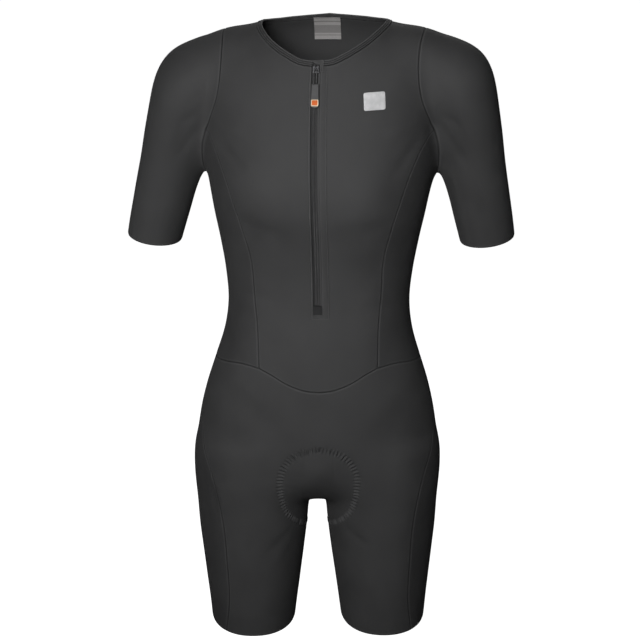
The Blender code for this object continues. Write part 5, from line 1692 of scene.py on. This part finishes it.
class SUIT_OT_seam_stitches(bpy.types.Operator):
    """Stitch both sides of the zip and the row across its foot, each with a near-black row of thread
    beside it that paints the shadow there
    """
    bl_idname = "suit.seam_stitches"
    bl_label = "Zip stitches"

    def execute(self, context):
        fastener = chosen("zip")
        pitch, length, radius = fastener.stitch_pitch, fastener.stitch_length, fastener.thread_radius
        for name, finish, out, up, long in (
                ("stitches", "thread", 0.0, 0.0, length),
                # The second row, in near-black thread, is painted shadow beside the stitches.
                ("under_stitches", "under_thread", SHADOW_ROW_OUT, SHADOW_ROW_UP, pitch)):
            lines = [front_at(edge, np.linspace(STITCH_TOP, STITCH_FOOT, 181))
                     for edge in (STITCH_RIGHT - out, STITCH_LEFT + out)]
            lines.append(front_at(np.linspace(STITCH_RIGHT, STITCH_LEFT, 41), STITCH_FOOT + up))
            runs = [run_of_stitches(line, pitch, long) for line in lines]
            middle = np.vstack([(starts + ends) / 2 for starts, ends in runs])
            lift = (creased(middle) + zip_welt(middle) + THREAD_SEAT * radius)[:, None]
            thread_piece("suit_zip_" + name, runs, finish_of(finish), radius, lift)
        return {"FINISHED"}


class SUIT_OT_zip_tapes(bpy.types.Operator):
    """Lay the zip's two woven tapes in the slit"""
    bl_idname = "suit.zip_tapes"
    bl_label = "Zip tapes"

    def execute(self, context):
        heights = np.concatenate(([ZIP_TOP], np.linspace(seam(NECK_FRONT)[0, 2], ZIP_FOOT, 121)))
        for name, sign in (("zip_tape_left", 1), ("zip_tape_right", -1)):
            seat(strip(name, TAPE, heights, finish_of("tape"), sign=sign), "suit", "zip_black", name)
        return {"FINISHED"}


class SUIT_OT_placket(bpy.types.Operator):
    """Fold the cloth's edge over the outer part of the left tape"""
    bl_idname = "suit.placket"
    bl_label = "Placket"

    def execute(self, context):
        heights = np.linspace(seam(NECK_FRONT)[0, 2] - 0.001, ZIP_FOOT, 241)
        sides = np.array(PLACKET)[:, 0]
        # Distances from the fold's inner edge, which paint the cloth's seam shadow and highlight line
        # along it.
        off = np.minimum(sides - sides[0] + 0.0003, FAR)
        seat(strip("zip_placket", PLACKET, heights, finish_of("cloth"), off=off), "suit", "cloth")
        return {"FINISHED"}


class SUIT_OT_zip_teeth(bpy.types.Operator):
    """Mould the zip's teeth, one row on each tape, set half a pitch apart"""
    bl_idname = "suit.zip_teeth"
    bl_label = "Zip teeth"

    def execute(self, context):
        fastener = chosen("zip")
        count = int((TEETH_TOP - ZIP_FOOT) / fastener.pitch)
        heights = TEETH_FOOT + np.arange(count) * fastener.pitch
        inner, outer = TOOTH_SIDES
        for name, sign in (("left", 1), ("right", -1)):
            level = heights + (fastener.pitch / 2 if sign > 0 else 0)
            run = (front_at(sign * inner, level), front_at(sign * outer, level - TOOTH_FALL))
            thread_piece("suit_zip_teeth_" + name, [run], finish_of("teeth"), fastener.tooth,
                         TOOTH_SEAT, slot="zip_black", sides=6, arch=0.45)
        return {"FINISHED"}


class SUIT_OT_zip_ends(bpy.types.Operator):
    """Close the zip's foot with a moulded patch and its top with a folded flap, whose folds are a
    sine of the side that dies away at its border"""
    bl_idname = "suit.zip_ends"
    bl_label = "Zip stop and guard"

    def execute(self, context):
        outline = rounded_box(STOP_SIZE / 2, STOP_SIZE / 2, STOP_CORNER)
        stop = laid_film("suit_zip_stop", outline, (0.0, STOP_TOP - STOP_SIZE / 2), 0.0, STOP_THICK,
                         finish_of("stop"), SEAM)
        seat(stop, "suit", "zip_black", "zip_stop")
        sides, lower = np.array(GUARD).T
        marks = np.linspace(0, 1, 41)
        way = walked(np.array(GUARD))
        sides, lower = (np.interp(marks * way[-1], way, values) for values in (sides, lower))
        share = np.linspace(0, 1, 17)[:, None]
        sheet = grid_sheet(front_at(sides[None, :], GUARD_TOP * (1 - share) + lower[None, :] * share))
        off = from_border(sheet)
        folds = GUARD_FOLD * np.sin(sheet.points[:, 0] / GUARD_WAVE) * np.clip(off / GUARD_EDGE, 0, 1)
        # Moved on by GUARD_EDGE, the distances leave out the painted seam shadow but paint the highlight
        # line along the flap's border.
        wall_piece("zip_guard", sheet, np.column_stack((sheet.knit, off + GUARD_EDGE)), finish_of("cloth"),
                   "cloth", folds, GUARD_FOLD * np.exp(-(off / GUARD_ROLL)**2),
                   top=GUARD_LIFT + GUARD_THICK, thickness=GUARD_THICK)
        return {"FINISHED"}


class SUIT_OT_slider(bpy.types.Operator):
    """Finish the slider in dark metal"""
    bl_idname = "suit.slider"
    bl_label = "Slider"

    def execute(self, context):
        node = frame["nodes"]["zip_slider"]
        node.data.materials.clear()
        node.data.materials.append(finish_of("metal"))
        return {"FINISHED"}


class SUIT_OT_pull(bpy.types.Operator):
    """Hang the pull's loop from the slider: a circle carried along the loop, whose radius swells with
    a cosine that winds round the cord as a plait does"""
    bl_idname = "suit.pull"
    bl_label = "Pull"

    def execute(self, context):
        place = pull_place()
        bend = np.linspace(0, pi, BEND_STEPS + 1)
        drop = np.linspace(-CORD_DROP, -CORD_HALF, CORD_STEPS + 1)[:-1]
        sides = np.concatenate((np.full(CORD_STEPS, -CORD_HALF), -CORD_HALF * np.cos(bend),
                                np.full(CORD_STEPS, CORD_HALF)))
        heights = np.concatenate((drop, CORD_HALF * (np.sin(bend) - 1), drop[::-1]))
        route = np.column_stack((sides, 0 * sides, heights))
        run = unit(np.gradient(route, axis=0))
        side = np.broadcast_to((0.0, 1.0, 0.0), run.shape)
        across = np.cross(run, side)
        turn = 2 * pi * np.arange(CORD_SIDES) / CORD_SIDES
        way = walked(route)
        plait = 1 + PLAIT_SWELL * np.cos(PLAIT_STRANDS * turn[None, :] - way[:, None] / PLAIT_RUN)
        around = across[:, None] * np.cos(turn)[:, None] + side[:, None] * np.sin(turn)[:, None]
        rings = route[:, None] + around * (CORD_RADIUS * PLAIT_MIDDLE * plait)[..., None]
        points, faces, caps = swept_arrays(turned(rings.reshape(-1, 3), place).reshape(rings.shape))
        knit = np.column_stack((np.tile(turn * CORD_RADIUS, len(route)), np.repeat(way, len(turn)),
                                np.full(len(turn) * len(route), FAR)))
        cord = new_object("suit_pull_cord", points, faces, finish_of("cord"), caps=caps,
                          values={"knit": knit})
        seat(right_side_out(cord), "zip_pull", "cord", "pull_cord")
        return {"FINISHED"}


class SUIT_OT_grip(bpy.types.Operator):
    """Mould the pull's grip and the plain badge let into it"""
    bl_idname = "suit.grip"
    bl_label = "Grip and badge"

    def execute(self, context):
        place = pull_place()
        top = -CORD_DROP - SEAM
        foot = GRIP_LENGTH - GRIP_FOOT_HALF
        bend = np.linspace(0, pi, BEND_STEPS + 1)
        low = np.column_stack((GRIP_FOOT_HALF * np.cos(bend), -foot - GRIP_FOOT_HALF * np.sin(bend)))
        corner = np.linspace(0, pi / 2, 6)
        high = np.column_stack((-GRIP_TOP_HALF + GRIP_CORNER * (1 - np.cos(corner)),
                                -GRIP_CORNER * (1 - np.sin(corner))))
        side_edge = np.column_stack((np.linspace(-GRIP_FOOT_HALF, -GRIP_TOP_HALF, 12)[1:-1],
                                     np.linspace(-foot, -GRIP_CORNER, 12)[1:-1]))
        half = np.vstack((side_edge, high))
        outline = np.vstack((low, half, (half * (-1, 1))[::-1])) + (0, top)
        points, faces, caps = slab_arrays(outline, GRIP_THICK, GRIP_EDGE)
        grip = new_object("suit_pull_grip", turned(points, place), faces, finish_of("rubber"),
                          caps=caps)
        seat(right_side_out(grip), "zip_pull", "rubber", "pull_grip")
        drop = top - BADGE_DROP
        for name, grow, lift, finish in (("rim", 0.0, RIM_LIFT, "badge_rim"),
                                         ("badge", -BADGE_BORDER, BADGE_LIFT, "badge")):
            outline = rounded_box(BADGE_WIDE / 2 + grow, BADGE_HIGH / 2 + grow,
                                  BADGE_CORNER + grow / 2)
            points, faces, caps = slab_arrays(outline + (0, drop), BADGE_THICK, BADGE_EDGE)
            points = points + (0, -GRIP_THICK / 2 - lift, 0)
            item = new_object("suit_pull_" + name, turned(points, place), faces, finish_of(finish),
                              caps=caps)
            seat(right_side_out(item), "zip_pull", "rubber")
        return {"FINISHED"}


class SUIT_OT_label(bpy.types.Operator):
    """Sew the woven label inside the neck"""
    bl_idname = "suit.label"
    bl_label = "Neck label"

    def execute(self, context):
        sides = np.linspace(LABEL_SIDE - LABEL_HALF, LABEL_SIDE + LABEL_HALF, 41)
        levels = np.linspace(LABEL_TOP, LABEL_FOOT, 37)
        grid = front_at(sides[None, :], levels[:, None], back=True)
        sheet = grid_sheet(grid)
        knit = np.column_stack((np.tile(sides, len(levels)), np.repeat(LABEL_TOP - levels, len(sides)),
                                np.full(len(sheet.points), FAR)))
        wall_piece("neck_label", sheet, knit, finish_of("label"), "label", creased(sheet.points), 0.0,
                   top=-WALL - 2 * SEAM, thickness=LABEL_THICK)
        return {"FINISHED"}


class SUIT_OT_film(bpy.types.Operator):
    """Press the plain reflective film patch on the chest"""
    bl_idname = "suit.film"
    bl_label = "Film patch"

    def execute(self, context):
        outline = rounded_box(*PATCH_HALF, PATCH_ROUND)
        made = laid_film("suit_film_patch", outline, (PATCH_SIDE, PATCH_HEIGHT), radians(PATCH_TURN),
                         PATCH_THICK, finish_of("film"), PATCH_SEAT)
        seat(made, "suit", "label")
        return {"FINISHED"}


def aimed(name, data, place, aim=CAMERA_TARGET):
    """A camera's or a lamp's object, at a place and facing a point."""
    made = bpy.data.objects.new(name, data)
    bpy.context.scene.collection.objects.link(made)
    made.location = place
    made.rotation_euler = (Vector(aim) - made.location).to_track_quat("-Z", "Y").to_euler()
    return made


def add_light(name, place, size, power, aim=CAMERA_TARGET, spread=180):
    """A square lamp that faces a point; its light leaves within the spread, in degrees."""
    lamp = bpy.data.lights.new(name, "AREA")
    lamp.size = size
    lamp.energy = power
    lamp.spread = radians(spread)
    aimed(name, lamp, place, aim)


class SUIT_OT_stage(bpy.types.Operator):
    """Set the camera, the white floor, the lights and the background, which only the camera sees"""
    bl_idname = "suit.stage"
    bl_label = "Stage"

    def execute(self, context):
        stage = chosen("stage")
        camera = bpy.data.cameras.new("camera")
        camera.sensor_width = SENSOR
        camera.lens = stage.lens
        camera.shift_x = stage.shift
        way = Vector((0, -cos(stage.elevation), sin(stage.elevation)))
        place = Vector(CAMERA_TARGET) + stage.distance * way
        context.scene.camera = aimed("camera", camera, place)

        level = CAD_BOX[0].z - stage.floor_drop
        corners = np.array([(FLOOR_HALF * x, FLOOR_HALF * y, level)
                            for x, y in ((-1, -1), (1, -1), (1, 1), (-1, 1))])
        surface, shader = shader_of("stage_floor", (0.86, 0.86, 0.86), 0.9)
        shader.inputs["Emission Color"].default_value = (1, 1, 1, 1)
        shader.inputs["Emission Strength"].default_value = 1.0
        floor = new_object("stage_floor", corners, np.array([[0, 1, 2, 3]]), surface)
        floor.visible_diffuse = False
        floor.visible_glossy = False

        add_light("key", KEY_PLACE, KEY_SIZE, stage.key, KEY_AIM, KEY_SPREAD)
        for name, place, size, share in FILLS:
            add_light(name, place, size, share * stage.fill)
        world = bpy.data.worlds.new("studio")
        world.use_nodes = True
        sky = world.node_tree.nodes["Background"]
        sky.inputs["Strength"].default_value = stage.sky
        sky.inputs["Color"].default_value = (1, 1, 1, 1)
        seen = add_node(world, "Background", {"Strength": 1.0, "Color": (1, 1, 1, 1)})
        ray = add_node(world, "LightPath", {}, output="Is Camera Ray")
        mixed = add_node(world, "MixShader", {0: ray, 1: sky.outputs[0], 2: seen})
        world.node_tree.links.new(mixed, world.node_tree.nodes["World Output"].inputs[0])
        context.scene.world = world
        context.scene.view_settings.view_transform = "Standard"
        return {"FINISHED"}


OPERATORS = (SUIT_OT_stage, SUIT_OT_front, SUIT_OT_back, SUIT_OT_sides, SUIT_OT_sleeves,
             SUIT_OT_shorts, SUIT_OT_leg_sides, SUIT_OT_binding, SUIT_OT_seam_stitches,
             SUIT_OT_zip_tapes, SUIT_OT_placket, SUIT_OT_zip_teeth, SUIT_OT_zip_ends,
             SUIT_OT_slider, SUIT_OT_pull, SUIT_OT_grip, SUIT_OT_label, SUIT_OT_film)
SETTINGS = {"cloth": ClothSettings, "zip": ZipSettings, "trim": TrimSettings, "stage": StageSettings}


class SUIT_PT_sidebar(bpy.types.Panel):
    """The suit's pieces and settings in the 3D view's sidebar"""
    bl_label = "Triathlon suit"
    bl_idname = "SUIT_PT_sidebar"
    bl_space_type = "VIEW_3D"
    bl_region_type = "UI"
    bl_category = "Suit"

    def draw(self, context):
        """List the settings, a box for each group, and then the operators."""
        for group, settings in SETTINGS.items():
            box = self.layout.box()
            for key in settings.__annotations__:
                box.prop(chosen(group), key)
        for operator in OPERATORS:
            self.layout.operator(operator.bl_idname)


def register():
    """Register the settings, the operators and the panel."""
    for item in (*SETTINGS.values(), *OPERATORS, SUIT_PT_sidebar):
        bpy.utils.register_class(item)
    for group, item in SETTINGS.items():
        setattr(bpy.types.Scene, "suit_" + group, PointerProperty(type=item))


def unregister():
    """Take the panel, the operators and the settings away again."""
    for group in SETTINGS:
        delattr(bpy.types.Scene, "suit_" + group)
    for item in reversed((*SETTINGS.values(), *OPERATORS, SUIT_PT_sidebar)):
        bpy.utils.unregister_class(item)


def main():
    """Make every piece in order."""
    register()
    for operator in OPERATORS:
        group, name = operator.bl_idname.split(".")
        getattr(getattr(bpy.ops, group), name)()


if __name__ == "__main__":
    main()
